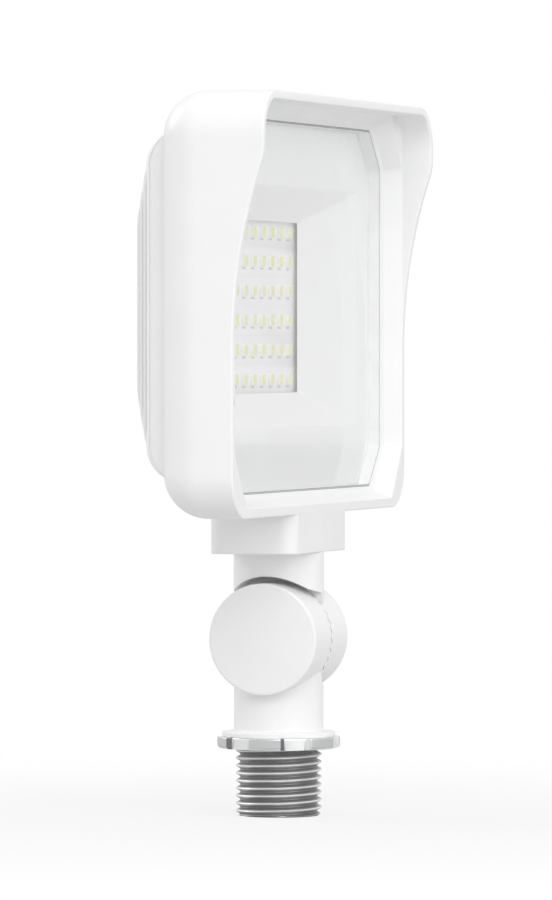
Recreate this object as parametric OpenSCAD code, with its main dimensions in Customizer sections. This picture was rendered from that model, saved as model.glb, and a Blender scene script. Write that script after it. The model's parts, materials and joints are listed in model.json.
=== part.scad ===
// Small flood light on a tilting half-inch stem.
// The beam leaves along -Y, +Z is up and the origin is the centre of the thread's lower end.
// A die-cast housing with a visor and cooling fins holds a glass, a reflector and a board of
// light chips. It stands on an upper arm, which tilts on a toothed knuckle on the lower arm.

/* [Thread and lock nut] */
// Outside diameter of the thread
thread_d = 20.9; // [20:0.1:22]
// Length of the thread below the lower arm's flange
thread_len = 19.3; // [17:0.1:26]
// Chamfer on the thread's lower end
thread_chamfer = 0.9; // [0.4:0.1:1.4]
// Depth of the relief at the top of the thread, where the nut rests
relief_depth = 0.5; // [0.4:0.05:0.7]
// Bore of the nipple, where the supply wires come up
nipple_bore_d = 14; // [10:0.5:14.5]
// Diameter of the nipple's plain end inside the lower arm
nipple_end_d = 17; // [16.4:0.1:18]
// Length of the nipple's plain end
nipple_end_len = 5; // [3:0.5:6]
// Thickness of the lock nut
nut_t = 3; // [2.6:0.1:4]
// Diameter of the lock nut between its lugs
nut_ring_d = 27.4; // [26:0.1:28]
// Diameter of the lock nut over its lugs
nut_lug_d = 29.6; // [29:0.1:32]
// Number of lugs on the lock nut
nut_lugs = 6; // [4:1:8]
// Angle that one lug spans
nut_lug_angle = 34; // [24:1:38]
// Chamfer under the lugs
nut_chamfer = 0.6; // [0.3:0.1:0.9]

/* [Lower arm] */
// Diameter of the lower arm
arm_d = 21.5; // [20:0.1:22]
// Height from the flange's underside to the knuckle's axis
arm_rise = 23.55; // [23:0.05:30]
// Diameter of the flange that the lock nut draws up to
flange_d = 27.2; // [26:0.1:30]
// Thickness of the flange at its rim
flange_t = 1.1; // [0.8:0.1:2]
// Height of the sloped shoulder above the flange's rim
flange_slope = 0.8; // [0.4:0.1:1.2]

/* [Knuckle] */
// Diameter of each knuckle disc
disc_d = 26.8; // [26:0.1:28]
// Distance from the knuckle's middle plane to the outer face of a disc
disc_half = 13.7; // [13.2:0.1:15]
// Radius on the rim of a disc's outer face
disc_fillet = 0.6; // [0.3:0.1:1.2]
// Least gap between the two arms when one is tilted by a quarter turn
swing_gap = 0.3; // [0.2:0.05:0.8]
// Number of locking teeth on each disc
tooth_count = 36; // [24:1:40]
// Depth of a tooth at the disc's rim
tooth_h = 0.9; // [0.5:0.05:1.1]
// Share of the tooth pitch that a groove takes
tooth_share = 0.9; // [0.7:0.02:0.94]
// Gap between the tips of the two rings of teeth
tooth_gap = 0.1; // [0.06:0.01:0.3]
// Width of the ring of teeth
tooth_ring_w = 3.2; // [2.6:0.1:3.4]
// Thickness of the ring seal between the discs
disc_seal_t = 1.8; // [1.4:0.1:2]
// Diameter of the clamp screw's shank
screw_d = 5; // [4:0.1:5.2]
// Diameter of the clamp screw's head
screw_head_d = 8.5; // [7.6:0.1:8.8]
// Height of the clamp screw's head
screw_head_h = 5; // [4:0.1:5.2]
// Width across the flats of the screw's hexagon socket
socket_w = 4; // [3:0.5:4.5]
// Thickness of the washer under the screw's head
washer_t = 1.2; // [0.8:0.1:1.4]
// Diameter of the boss that the clamp screw runs in
boss_d = 8.8; // [8.4:0.1:9.2]

/* [Upper arm] */
// Diameter of the neck above the knuckle
neck_d = 21.7; // [20:0.1:21.9]
// Height from the knuckle's axis to the neck block
neck_rise = 20.65; // [20:0.05:28]
// Diameter of the spigot that enters the neck block
spigot_d = 17.6; // [17:0.1:18]
// Length of the spigot
spigot_len = 7; // [6:0.1:7.6]
// Thickness of the ring seal at the spigot's root
neck_seal_t = 1; // [0.8:0.05:1.2]
// Bore of the way for the wires through the spigot
wire_way_d = 7; // [6:0.1:7.4]
// Distance from the neck's axis to each screw that holds the arm
arm_screw_x = 6.2; // [6:0.1:6.4]
// Diameter of the screws that hold the arm
arm_screw_d = 3; // [2.5:0.1:3.2]

/* [Housing] */
// Width of the housing
tub_w = 146; // [142:1:165]
// Height of the housing
tub_h = 99.4; // [96:0.2:112]
// Depth of the housing from the lower lip to the rear face
tub_depth = 19.4; // [18.6:0.1:24]
// Radius on the corners and on the rear edge
corner_r = 10.5; // [9:0.5:12]
// Thickness of the visor and of the walls round the glass opening
wall = 2; // [1.6:0.1:2.6]
// Height of the front lip under the glass opening
lip_h = 2.3; // [1.8:0.1:3]
// Distance that the visor stands in front of the lower lip
visor_reach = 7.45; // [6:0.05:12]
// Drop from the housing's top to where the visor's side edge starts to sweep back
visor_drop = 12.7; // [11:0.1:16]
// Radius of the bend at the top of the visor's side edge
visor_bend_r = 15; // [10:1:20]
// Radius of the long sweep of the visor's side edge
sweep_r = 134; // [110:1:160]
// Width of the neck block
block_w = 46; // [42:0.5:54]
// Depth of the neck block
block_d = 21.8; // [21.6:0.1:24]
// Height of the neck block below the housing
block_h = 9.4; // [9:0.1:13]
// Radius on the upright corners of the neck block
block_r = 4; // [2:0.5:6]

/* [Cooling fins] */
// Number of fins on each side of the middle
fins_a_side = 8; // [6:1:8]
// Distance from one fin to the next
fin_pitch = 8; // [7:0.1:8]
// Thickness of a fin
fin_t = 2; // [1.6:0.1:2.6]
// Height of the finned area
fin_h = 81; // [74:0.5:84]
// Reach of the middle fins behind the rear face
fin_reach = 16; // [13:0.5:20]
// Reach of the outermost fin behind the rear face
fin_reach_edge = 6; // [4:0.5:9]
// Step in reach from one fin to the next
fin_step = 3.4; // [2:0.1:5]
// Radius of the rounded fin ends
fin_end_r = 22; // [20:0.5:30]

/* [Glass and reflector] */
// Distance from the housing's side to the glass
glass_side = 6; // [5.5:0.1:8]
// Height of the glass
glass_h = 87.6; // [86:0.2:88]
// Chamfer across each corner of the glass
glass_chamfer = 9.3; // [7:0.1:11]
// Thickness of the glass
glass_t = 3; // [2.4:0.1:4]
// Distance from the front lip back to the glass
glass_sink = 4.8; // [4:0.1:6]
// Width of the rubber seal round the glass
gasket_w = 0.4; // [0.3:0.05:0.9]
// Width of the seal's foot behind the glass
gasket_foot = 0.5; // [0.3:0.05:1.2]
// Width of the narrow rim between the seal and the sloped sides of the opening
rim_w = 1.2; // [0.8:0.1:1.4]
// Slack between the glass and the reflector's border
glass_slack = 0.3; // [0.2:0.05:0.5]
// Thickness of the reflector's wall
reflector_t = 1.2; // [0.8:0.1:1.4]
// Width of the ledge that carries the reflector's border
ledge_w = 2.4; // [1.6:0.1:3]
// Width of the reflector's border at the sides
border_side = 7; // [6:0.5:11]
// Width of the reflector's border above and below
border_top = 14.9; // [14.6:0.1:16]
// Width of the reflector's window
window_w = 58; // [54.5:0.5:59]
// Height of the reflector's window
window_h = 41.3; // [40.4:0.1:43]

/* [Light board] */
// Rows of light chips
chip_rows = 6; // [4:1:6]
// Light chips in one row
chip_columns = 8; // [5:1:8]
// Distance from one chip to the next
chip_pitch = 7.25; // [6.6:0.05:7.3]
// Width of one chip
chip_w = 3.5; // [2.6:0.1:3.8]
// Height of one chip
chip_h = 2.8; // [2:0.1:3.2]
// Thickness of one chip
chip_t = 0.7; // [0.5:0.05:0.8]
// Width of the light board
board_w = 84; // [83:0.5:88]
// Distance from the driver board up to the light board
board_space = 4; // [3.5:0.5:6]
// Thickness of the light board and of the driver board
board_t = 1; // [0.8:0.1:1.2]
// Thickness of the heat pad behind the light board
pad_t = 0.4; // [0.3:0.05:0.6]
// Thickness of the housing's rear wall between the fins
floor_t = 1.9; // [1.6:0.1:2.4]
// Diameter of the small screws that hold the boards
small_screw_d = 2.4; // [2:0.1:2.5]
// Distance from the middle to the light board's screws, across
board_screw_x = 38.8; // [38.6:0.1:39.2]
// Distance from the middle to the light board's screws, up and down
board_screw_z = 14; // [10:0.5:18]

/* [Driver] */
// Distance from each end of the driver board to the side of the cavity
driver_side = 15; // [12.5:0.5:18]
// Height of the driver board
driver_h = 10; // [9.4:0.1:10.4]
// Thickness of the insulating sheet behind the driver board
sheet_t = 0.3; // [0.2:0.05:0.4]
// Diameter of a capacitor
capacitor_d = 5.6; // [4:0.1:5.8]
// Length of a capacitor
capacitor_len = 11; // [8:0.5:13]
// Diameter of the surge disc
surge_d = 7; // [5:0.1:8]
// Width of the wire terminal
terminal_w = 12; // [9:0.5:14]
// Diameter of a lead between the two boards
lead_d = 1.4; // [1:0.1:1.6]
// Distance from the middle to the outer lead
lead_x = 40.6; // [40:0.1:41]

/* [Hidden] */
$fn = 96;

// Clearance of pieces that sit in one another, of the nut and the clamp screw, and between
// pieces that keep apart
seat_gap = 0.05;
running_gap = 0.08;
free_gap = 0.3;
// Slack across a hole that a screw passes through freely
hole_slack = 0.4;
// Overrun of a cutting shape past the face that it opens
over = 1;
// Thickness of the thin slabs between which a sloped shape is drawn
slab = 0.02;
// Length by which two parts of one solid run into each other
join = 0.1;

// Heights
knuckle_z = thread_len + arm_rise;
block_z = knuckle_z + neck_rise;
tub_z = block_z + block_h;
tub_top = tub_z + tub_h;

// Glass opening, which leaves more room over the glass than under it
share_over_glass = 0.545;
rim_slope = 0.45;
open_h = tub_h - wall - lip_h;
glass_w = tub_w - 2 * glass_side;
mouth_w = glass_w - 2 * border_side;
mouth_h = glass_h - 2 * border_top;
glass_z = tub_top - wall - (open_h - glass_h) * share_over_glass - glass_h / 2;

// Planes across the beam, from the visor to the fins
lip_y = -block_d / 2;
visor_y = lip_y - visor_reach;
back_y = lip_y + tub_depth;
glass_y = lip_y + glass_sink;
rebate_y = glass_y - 0.1;
rim_y = rebate_y - rim_slope * rim_w;
border_y = glass_y + glass_t + glass_slack;
ledge_y = border_y + reflector_t;
floor_y = back_y - floor_t;
board_y = floor_y - pad_t - board_t;
chip_y = board_y - chip_t;
driver_y = floor_y - sheet_t - board_t;

// Radii of the stem and the knuckle
arm_r = arm_d / 2;
neck_r = neck_d / 2;
disc_r = disc_d / 2;
cut_r = max(disc_r + free_gap, norm([arm_r, neck_r]) + swing_gap);
tooth_in_r = disc_r - tooth_ring_w;
seal_r = tooth_in_r - disc_seal_t / 2 - seat_gap;
pocket_wall = 0.8;
pocket_r = seal_r - disc_seal_t / 2 - pocket_wall;
relief_room = 0.5;
screw_hole_r = (screw_d + hole_slack) / 2;
counterbore_r = screw_head_d / 2 + hole_slack;

// Places along the knuckle's axis
face_x = tooth_gap / 2;
head_sink = 0.4;
seat_t = 1.9;
blind_wall = 2.4;
screw_end_gap = 0.8;
washer_x = disc_half - head_sink - screw_head_h - washer_t;
lower_pocket_x = 8;
upper_pocket_x = washer_x - seat_t;
screw_end_x = disc_half - blind_wall - screw_end_gap;

// Cavity behind the glass, and the seats that follow the pieces in them
rebate_w = glass_w + 2 * gasket_w;
rebate_h = glass_h + 2 * gasket_w;
rebate_chamfer = glass_chamfer + gasket_w;
cavity_w = rebate_w - 2 * ledge_w;
cavity_h = rebate_h - 2 * ledge_w;
cavity_z = glass_z - cavity_h / 2;
cavity_r = 4;
board_r = 2;
pad_inset = 3;
funnel_side = 3;
funnel_foot = 1.25;
foot_gap = 0.85;

// Way for the wires and the screws from the neck up into the cavity
way_y = (ledge_y + floor_y) / 2;
way_foot = 5;
arm_screw_grip = 4;
arm_screw_head_d = arm_screw_d + 2.4;
arm_screw_head_h = 2;
spigot_bore_z = block_z + spigot_len + free_gap;
screw_head_seat_z = spigot_bore_z + arm_screw_grip;
grommet_wall = 1.4;
grommet_lip = 0.4;

// Small screws in the housing's rear wall
small_head_r = small_screw_d / 2 + 1;
small_head_h = 1.2;
small_hole_depth = floor_t - 0.4;
small_screw_depth = small_hole_depth - 0.2;

// Driver: height of its board and the places of the pieces along it
driver_lift = 0.8;
driver_z = cavity_z + driver_lift + driver_h / 2;
driver_w = cavity_w - 2 * driver_side;
board_h = cavity_h - 2 * (driver_lift + driver_h + board_space);
driver_screw_x = driver_w / 2 - 3;
ground_x = cavity_w / 2 - 8.7;
capacitor_x = 0.14 * driver_w;
capacitor_space = 2;
surge_x = -0.38 * driver_w;
surge_t = 3;
rectifier_x = -0.28 * driver_w;
rectifier_size = [6.4, 5];
rectifier_t = 2.4;
driver_chip_xs = [-0.19 * driver_w, -0.11 * driver_w];
driver_chip_size = [5, 4];
driver_chip_t = 1.5;
terminal_h = driver_h - 2.6;
terminal_t = 5.4;
terminal_hole_d = 2.2;
lead_space = 2.6;
lead_lap = 2.5;

// Four corners cut alike, each by c across and by c and rise up
module chamfered(w, h, c, rise = 0) {
    side_h = h / 2 - c - rise;
    polygon([
        [-w / 2 + c, -h / 2], [w / 2 - c, -h / 2], [w / 2, -side_h], [w / 2, side_h],
        [w / 2 - c, h / 2], [-w / 2 + c, h / 2], [-w / 2, side_h], [-w / 2, -side_h]
    ]);
}

module rounded(w, h, r) {
    square([w - 2 * r, h], center = true);
    square([w, h - 2 * r], center = true);
    for (x = [-1, 1], y = [-1, 1])
        translate([x * (w / 2 - r), y * (h / 2 - r)])
            circle(r);
}

// An outline in X and Z, drawn from the plane y0 back to the plane y1
module between(y0, y1, z = 0) {
    translate([0, y1, z])
        rotate([90, 0, 0])
            linear_extrude(y1 - y0)
                children();
}

// A cylinder along X, from x0 to x1
module rod_x(r, x0, x1) {
    translate([x0, 0, knuckle_z])
        rotate([0, 90, 0])
            cylinder(r = r, h = x1 - x0);
}

// A cylinder along Y, from y0 to y1
module rod_y(r, x, y0, y1, z) {
    translate([x, y1, z])
        rotate([90, 0, 0])
            cylinder(r = r, h = y1 - y0);
}

// HOUSING

// Box with round upright corners, and a ball at each rear corner
module tub_outside() {
    mid = tub_z + tub_h / 2;
    bend_y = back_y - corner_r;
    between(visor_y, bend_y, mid)
        rounded(tub_w, tub_h, corner_r);
    between(bend_y, back_y, mid)
        square([tub_w - 2 * corner_r, tub_h - 2 * corner_r], center = true);
    for (side = [-1, 1]) {
        translate([side * (tub_w / 2 - corner_r), bend_y, mid - tub_h / 2 + corner_r])
            cylinder(r = corner_r, h = tub_h - 2 * corner_r);
        translate([-tub_w / 2 + corner_r, bend_y, mid + side * (tub_h / 2 - corner_r)])
            rotate([0, 90, 0])
                cylinder(r = corner_r, h = tub_w - 2 * corner_r);
        for (end = [-1, 1])
            translate([side * (tub_w / 2 - corner_r), bend_y, mid + end * (tub_h / 2 - corner_r)])
                sphere(corner_r);
    }
}

// The visor's side edge in Y and Z: a long hollow arc that leaves the lip plane, and a short
// round arc that meets the visor plane. Both have the same slope where they join.
bend_top_z = tub_top - visor_drop;
edge_angle = acos(1 - visor_reach / (sweep_r + visor_bend_r));
sweep_end_z = bend_top_z - visor_bend_r * sin(edge_angle);
sweep_start_z = sweep_end_z - sweep_r * sin(edge_angle);

module in_front_of_visor_edge() {
    front = visor_y - over;
    difference() {
        translate([front, tub_z - over])
            square([lip_y - front, bend_top_z - tub_z + over]);
        difference() {
            translate([front - over, sweep_start_z])
                square([lip_y - front + 2 * over, sweep_end_z - sweep_start_z]);
            translate([lip_y - sweep_r, sweep_start_z])
                circle(sweep_r, $fn = 720);
        }
        intersection() {
            translate([front - over, sweep_end_z])
                square([lip_y - front + 2 * over, bend_top_z - sweep_end_z + over]);
            translate([visor_y + visor_bend_r, bend_top_z])
                circle(visor_bend_r, $fn = 180);
        }
    }
}

// Block under the housing, with a shoulder that runs up into its rear edge
module neck_block() {
    shoulder_z = tub_z + 3;
    root_z = tub_z + corner_r - 2;
    intersection() {
        translate([-block_w / 2, 0, 0])
            rotate([90, 0, 90])
                linear_extrude(block_w)
                    polygon([
                        [lip_y, block_z], [block_d / 2, block_z], [block_d / 2, shoulder_z],
                        [back_y - 0.5, root_z], [lip_y + wall, root_z], [lip_y, tub_z + wall / 2]
                    ]);
        translate([0, 0, block_z - over])
            linear_extrude(block_h + corner_r + 2 * over)
                rounded(block_w, block_d, block_r);
    }
}

// Reach of fin number k behind the rear face, counted from the outermost one
function reach_of(k) = min(fin_reach, fin_reach_edge + k * fin_step);

// Side view of a fin: a plate whose two ends are rounded off towards its rear edge
module fin_outline(reach) {
    end_h = sqrt(fin_end_r * fin_end_r - pow(fin_end_r - reach, 2));
    intersection() {
        translate([back_y, -fin_h / 2])
            square([reach, fin_h]);
        union() {
            translate([back_y - over, -fin_h / 2 + end_h])
                square([reach + 2 * over, fin_h - 2 * end_h]);
            for (end = [-1, 1])
                translate([back_y + reach - fin_end_r, end * (fin_h / 2 - end_h)])
                    circle(fin_end_r, $fn = 180);
        }
    }
}

module cooling_fins() {
    color("white")
        for (side = [-1, 1], i = [0 : fins_a_side - 1])
            translate([side * (i + 0.5) * fin_pitch - fin_t / 2, 0, glass_z])
                rotate([90, 0, 90])
                    linear_extrude(fin_t)
                        fin_outline(reach_of(fins_a_side - 1 - i));
}

// Outline a rim's width larger than the glass and its seal
module rim_outline() {
    chamfered(rebate_w + 2 * rim_w, rebate_h + 2 * rim_w, rebate_chamfer, rim_w);
}

// Opening from the front lip back to the glass: a steep slope, then a narrow rim. Its cut corners
// all end level with the corners of the glass.
module glass_opening() {
    hull() {
        between(lip_y - slab, lip_y, tub_z + lip_h + open_h / 2)
            chamfered(tub_w - 2 * wall, open_h, rebate_chamfer, (open_h - rebate_h) / 2);
        between(rim_y - slab, rim_y, glass_z)
            rim_outline();
    }
    hull() {
        between(rim_y - slab, rim_y, glass_z)
            rim_outline();
        between(rebate_y - slab, rebate_y, glass_z)
            chamfered(rebate_w, rebate_h, rebate_chamfer);
    }
}

module arm_screw_places() {
    for (side = [-1, 1])
        translate([side * arm_screw_x, way_y, 0])
            children();
}

module light_board_screw_places() {
    for (x = [-1, 1], z = [-1, 1])
        translate([x * board_screw_x, 0, glass_z + z * board_screw_z])
            children();
}

module driver_screw_places() {
    for (x = [-1, 1])
        translate([x * driver_screw_x, 0, driver_z])
            children();
}

module floor_screw_hole() {
    rod_y(small_screw_d / 2 + seat_gap, 0, floor_y - over, floor_y + small_hole_depth, 0);
}

module housing() {
    color("white")
        difference() {
            union() {
                difference() {
                    tub_outside();
                    translate([-tub_w / 2 - over, 0, 0])
                        rotate([90, 0, 90])
                            linear_extrude(tub_w + 2 * over)
                                in_front_of_visor_edge();
                    between(visor_y - over, lip_y, tub_z + tub_h / 2)
                        rounded(tub_w - 2 * wall, tub_h - 2 * wall, corner_r - wall);
                }
                neck_block();
            }
            glass_opening();
            between(rebate_y - slab, ledge_y, glass_z)
                chamfered(rebate_w, rebate_h, rebate_chamfer);
            between(ledge_y - over, floor_y, glass_z)
                rounded(cavity_w, cavity_h, cavity_r);
            translate([0, 0, block_z - over])
                cylinder(d = spigot_d + 2 * seat_gap, h = spigot_bore_z - block_z + over);
            translate([0, 0, block_z - over])
                cylinder(d = spigot_d + 2 * neck_seal_t + 4 * seat_gap, h = neck_seal_t + wall / 4 + over);
            translate([0, way_y, block_z])
                cylinder(d = wire_way_d + 2 * seat_gap, h = cavity_z - block_z + over);
            arm_screw_places() {
                translate([0, 0, block_z + over])
                    cylinder(d = arm_screw_d + hole_slack, h = cavity_z - block_z);
                translate([0, 0, screw_head_seat_z])
                    cylinder(d = arm_screw_head_d + hole_slack, h = cavity_z - screw_head_seat_z + over);
            }
            light_board_screw_places()
                floor_screw_hole();
            driver_screw_places()
                floor_screw_hole();
            translate([-ground_x, 0, driver_z])
                floor_screw_hole();
        }
}

// OPTICS

module glass_lens() {
    color([0.85, 0.92, 0.95, 0.35])
        between(glass_y, glass_y + glass_t, glass_z)
            chamfered(glass_w, glass_h, glass_chamfer);
}

module lens_gasket() {
    color([0.3, 0.3, 0.32])
        difference() {
            between(glass_y + slab, border_y, glass_z)
                chamfered(rebate_w, rebate_h, rebate_chamfer);
            between(glass_y, glass_y + glass_t, glass_z)
                chamfered(glass_w, glass_h, glass_chamfer);
            between(glass_y + glass_t - over, border_y + over, glass_z)
                chamfered(
                    glass_w - 2 * gasket_foot, glass_h - 2 * gasket_foot,
                    glass_chamfer - gasket_foot / 2
                );
        }
}

// Pyramid-shaped space from the reflector's mouth to its window, made larger by grow
module funnel(front, rear, grow_mouth, grow_x, grow_z) {
    hull() {
        between(front, front + slab, glass_z)
            square([mouth_w + 2 * grow_mouth, mouth_h + 2 * grow_mouth], center = true);
        between(rear - slab, rear, glass_z)
            square([window_w + 2 * grow_x, window_h + 2 * grow_z], center = true);
    }
}

module reflector() {
    color([0.95, 0.95, 0.95])
        difference() {
            union() {
                between(border_y, ledge_y, glass_z)
                    chamfered(rebate_w - free_gap, rebate_h - free_gap, rebate_chamfer);
                funnel(ledge_y - join, board_y - foot_gap, reflector_t, funnel_side, funnel_foot);
            }
            funnel(border_y - slab, board_y - foot_gap + slab, 0, 0, 0);
        }
}

// LIGHT BOARD

module light_board() {
    color([0.93, 0.94, 0.93])
        difference() {
            between(board_y, board_y + board_t, glass_z)
                rounded(board_w, board_h, board_r);
            light_board_screw_places()
                rod_y(small_screw_d / 2 + seat_gap, 0, board_y - over, board_y + board_t + over, 0);
        }
}

module light_chips() {
    color([0.95, 0.93, 0.5])
        for (row = [0 : chip_rows - 1], column = [0 : chip_columns - 1])
            translate([
                (column - (chip_columns - 1) / 2) * chip_pitch, 0,
                glass_z + (row - (chip_rows - 1) / 2) * chip_pitch
            ])
                between(chip_y, board_y)
                    square([chip_w, chip_h], center = true);
}

module heat_pad() {
    color([0.6, 0.62, 0.66])
        between(board_y + board_t, floor_y, glass_z)
            square([2 * (board_screw_x - small_screw_d), board_h - 2 * pad_inset], center = true);
}

// Small flat-headed screw whose head lies on the plane y
module small_screw(y) {
    rod_y(small_head_r, 0, y - small_head_h, y, 0);
    rod_y(small_screw_d / 2, 0, y - join, floor_y + small_screw_depth, 0);
}

module board_screws() {
    color("silver")
        light_board_screw_places()
            small_screw(board_y);
}

// DRIVER

module driver_board() {
    color([0.1, 0.4, 0.22])
        difference() {
            between(driver_y, driver_y + board_t, driver_z)
                square([driver_w, driver_h], center = true);
            driver_screw_places()
                rod_y(small_screw_d / 2 + seat_gap, 0, driver_y - over, driver_y + board_t + over, 0);
        }
}

module insulating_sheet() {
    color([0.85, 0.75, 0.4])
        difference() {
            between(driver_y + board_t, floor_y, driver_z)
                square([driver_w, driver_h], center = true);
            driver_screw_places()
                rod_y(small_screw_d / 2 + seat_gap, 0, driver_y - over, floor_y + over, 0);
        }
}

module capacitors() {
    color([0.12, 0.12, 0.16])
        for (x = [capacitor_x, capacitor_x + capacitor_len + capacitor_space])
            translate([x, driver_y - capacitor_d / 2, driver_z])
                rotate([0, 90, 0])
                    cylinder(d = capacitor_d, h = capacitor_len);
}

module surge_disc() {
    color([0.15, 0.3, 0.7])
        rod_y(surge_d / 2, surge_x, driver_y - surge_t, driver_y, driver_z);
}

module rectifier() {
    color([0.1, 0.1, 0.1])
        translate([rectifier_x, 0, driver_z])
            between(driver_y - rectifier_t, driver_y)
                square(rectifier_size, center = true);
}

module driver_chips() {
    color([0.12, 0.12, 0.12])
        for (x = driver_chip_xs)
            translate([x, 0, driver_z])
                between(driver_y - driver_chip_t, driver_y)
                    square(driver_chip_size, center = true);
}

// Two-way terminal for the supply wires, which come up into its two holes from below
module wire_terminal() {
    color([0.9, 0.9, 0.85])
        difference() {
            between(driver_y - terminal_t, driver_y, driver_z)
                square([terminal_w, terminal_h], center = true);
            for (side = [-1, 1])
                translate([side * terminal_w / 4, driver_y - terminal_t / 2, driver_z - terminal_h])
                    cylinder(d = terminal_hole_d, h = terminal_h + over);
        }
}

module driver_screws() {
    color("silver")
        driver_screw_places()
            small_screw(driver_y);
}

// Two leads that lie on the driver board and reach up on to the light board
module board_leads() {
    lead_z = driver_z + driver_h / 2 - lead_lap;
    color([0.75, 0.1, 0.1])
        for (i = [0, 1])
            translate([lead_x - i * lead_space, min(board_y, driver_y) - lead_d / 2, lead_z])
                cylinder(d = lead_d, h = glass_z - board_h / 2 + lead_lap - lead_z);
}

module ground_screw() {
    color([0.2, 0.6, 0.3])
        translate([-ground_x, 0, driver_z])
            small_screw(floor_y);
}

module wire_grommet() {
    color([0.15, 0.15, 0.15])
        translate([0, way_y, spigot_bore_z])
            difference() {
                cylinder(d = wire_way_d, h = cavity_z + grommet_lip - spigot_bore_z);
                translate([0, 0, -over])
                    cylinder(d = wire_way_d - 2 * grommet_wall, h = cavity_z - spigot_bore_z + 2 * over);
            }
}

// KNUCKLE AND ARMS

// Disc along X with a small radius on the rim of its outer face, which is at x = 0
module disc() {
    rotate([0, 90, 0])
        rotate_extrude()
            union() {
                square([disc_r - disc_fillet, disc_half]);
                translate([0, disc_fillet])
                    square([disc_r, disc_half - disc_fillet]);
                translate([disc_r - disc_fillet, disc_fillet])
                    circle(disc_fillet, $fn = 48);
            }
}

// Grooves between the locking teeth. Each is a three-sided spike whose point lies on the
// knuckle's axis, so it grows wider and deeper towards the rim.
module tooth_grooves(turn) {
    stretch = 1.2;
    reach = disc_r * stretch;
    half = 180 / tooth_count * tooth_share;
    for (i = [0 : tooth_count - 1])
        rotate([turn + i * 360 / tooth_count, 0, 0])
            polyhedron(
                points = [
                    [0, 0, 0],
                    [0, reach * cos(half), reach * sin(half)],
                    [0, reach * cos(half), -reach * sin(half)],
                    [-tooth_h * stretch, reach, 0]
                ],
                faces = [[0, 1, 2], [0, 2, 3], [0, 3, 1], [1, 3, 2]]
            );
}

// Everything that is cut into a disc's toothed face. The face looks along +X at x = 0.
module face_cuts(pocket_depth, turn) {
    intersection() {
        tooth_grooves(turn);
        translate([-disc_half, 0, 0])
            rotate([0, 90, 0])
                difference() {
                    cylinder(r = disc_r + over, h = disc_half + over);
                    translate([0, 0, -over])
                        cylinder(r = tooth_in_r, h = disc_half + 3 * over);
                }
    }
    rotate([0, -90, 0]) {
        translate([0, 0, -over])
            difference() {
                cylinder(r = tooth_in_r, h = disc_seal_t / 2 + over);
                translate([0, 0, -over])
                    cylinder(r = tooth_in_r - disc_seal_t - 2 * seat_gap, h = disc_seal_t + 3 * over);
            }
        translate([0, 0, -over])
            difference() {
                cylinder(r = pocket_r, h = pocket_depth + over);
                translate([0, 0, -over])
                    cylinder(d = boss_d, h = pocket_depth + 3 * over);
            }
    }
}

module lower_arm() {
    rim_step = 0.4;
    way_r = 2.3;
    way_x = -4.4;
    color("white")
        difference() {
            union() {
                translate([0, 0, thread_len])
                    cylinder(r = arm_r, h = arm_rise);
                translate([0, 0, thread_len])
                    cylinder(d = flange_d, h = flange_t);
                translate([0, 0, thread_len + flange_t])
                    cylinder(r1 = flange_d / 2 - rim_step, r2 = arm_r, h = flange_slope);
                translate([-disc_half, 0, knuckle_z])
                    disc();
            }
            rod_x(cut_r, -face_x, disc_half + over);
            translate([-face_x, 0, knuckle_z])
                face_cuts(lower_pocket_x, 0);
            rod_x(screw_d / 2 + running_gap, -screw_end_x - screw_end_gap, 0);
            translate([0, 0, thread_len - over])
                cylinder(d = nipple_end_d + 2 * seat_gap, h = nipple_end_len + free_gap + over);
            translate([way_x, 0, thread_len + nipple_end_len])
                cylinder(r = way_r, h = knuckle_z - boss_d / 2 - thread_len - nipple_end_len);
        }
}

module upper_arm() {
    way_r = 1.9;
    way_x = 3.2;
    color("white")
        difference() {
            union() {
                translate([0, 0, knuckle_z])
                    cylinder(r = neck_r, h = neck_rise);
                translate([0, 0, block_z - over])
                    cylinder(d = spigot_d, h = spigot_len + over);
                translate([disc_half, 0, knuckle_z])
                    rotate([0, 0, 180])
                        disc();
            }
            rod_x(cut_r, -disc_half - over, face_x);
            translate([face_x, 0, knuckle_z])
                rotate([0, 0, 180])
                    face_cuts(upper_pocket_x, 180 / tooth_count);
            rod_x(screw_hole_r, 0, disc_half);
            rod_x(counterbore_r, washer_x, disc_half + over);
            translate([way_x, 0, knuckle_z + boss_d / 2])
                cylinder(r = way_r, h = neck_rise - boss_d / 2 - way_foot / 2);
            translate([0, way_y, block_z - way_foot])
                cylinder(d = wire_way_d, h = spigot_len + way_foot + over);
            arm_screw_places()
                translate([0, 0, block_z - over])
                    cylinder(d = arm_screw_d + 2 * seat_gap, h = spigot_len + 2 * over);
        }
}

module neck_seal() {
    color([0.1, 0.1, 0.1])
        translate([0, 0, block_z + neck_seal_t / 2])
            rotate_extrude()
                translate([spigot_d / 2 + neck_seal_t / 2 + seat_gap, 0])
                    circle(d = neck_seal_t, $fn = 48);
}

module arm_screws() {
    color("silver")
        arm_screw_places() {
            translate([0, 0, block_z])
                cylinder(d = arm_screw_d, h = screw_head_seat_z - block_z + join);
            translate([0, 0, screw_head_seat_z])
                cylinder(d = arm_screw_head_d, h = arm_screw_head_h);
        }
}

module knuckle_seal() {
    color([0.1, 0.1, 0.1])
        translate([0, 0, knuckle_z])
            rotate([0, 90, 0])
                rotate_extrude()
                    translate([seal_r, 0])
                        circle(d = disc_seal_t, $fn = 48);
}

module clamp_screw() {
    head_x = washer_x + washer_t + slab;
    color([0.6, 0.6, 0.62])
        difference() {
            union() {
                rod_x(screw_d / 2, -screw_end_x, head_x + join);
                rod_x(screw_head_d / 2, head_x, head_x + screw_head_h);
            }
            translate([head_x + screw_head_h / 2, 0, knuckle_z])
                rotate([0, 90, 0])
                    cylinder(d = socket_w / cos(30), h = screw_head_h, $fn = 6);
        }
}

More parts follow.
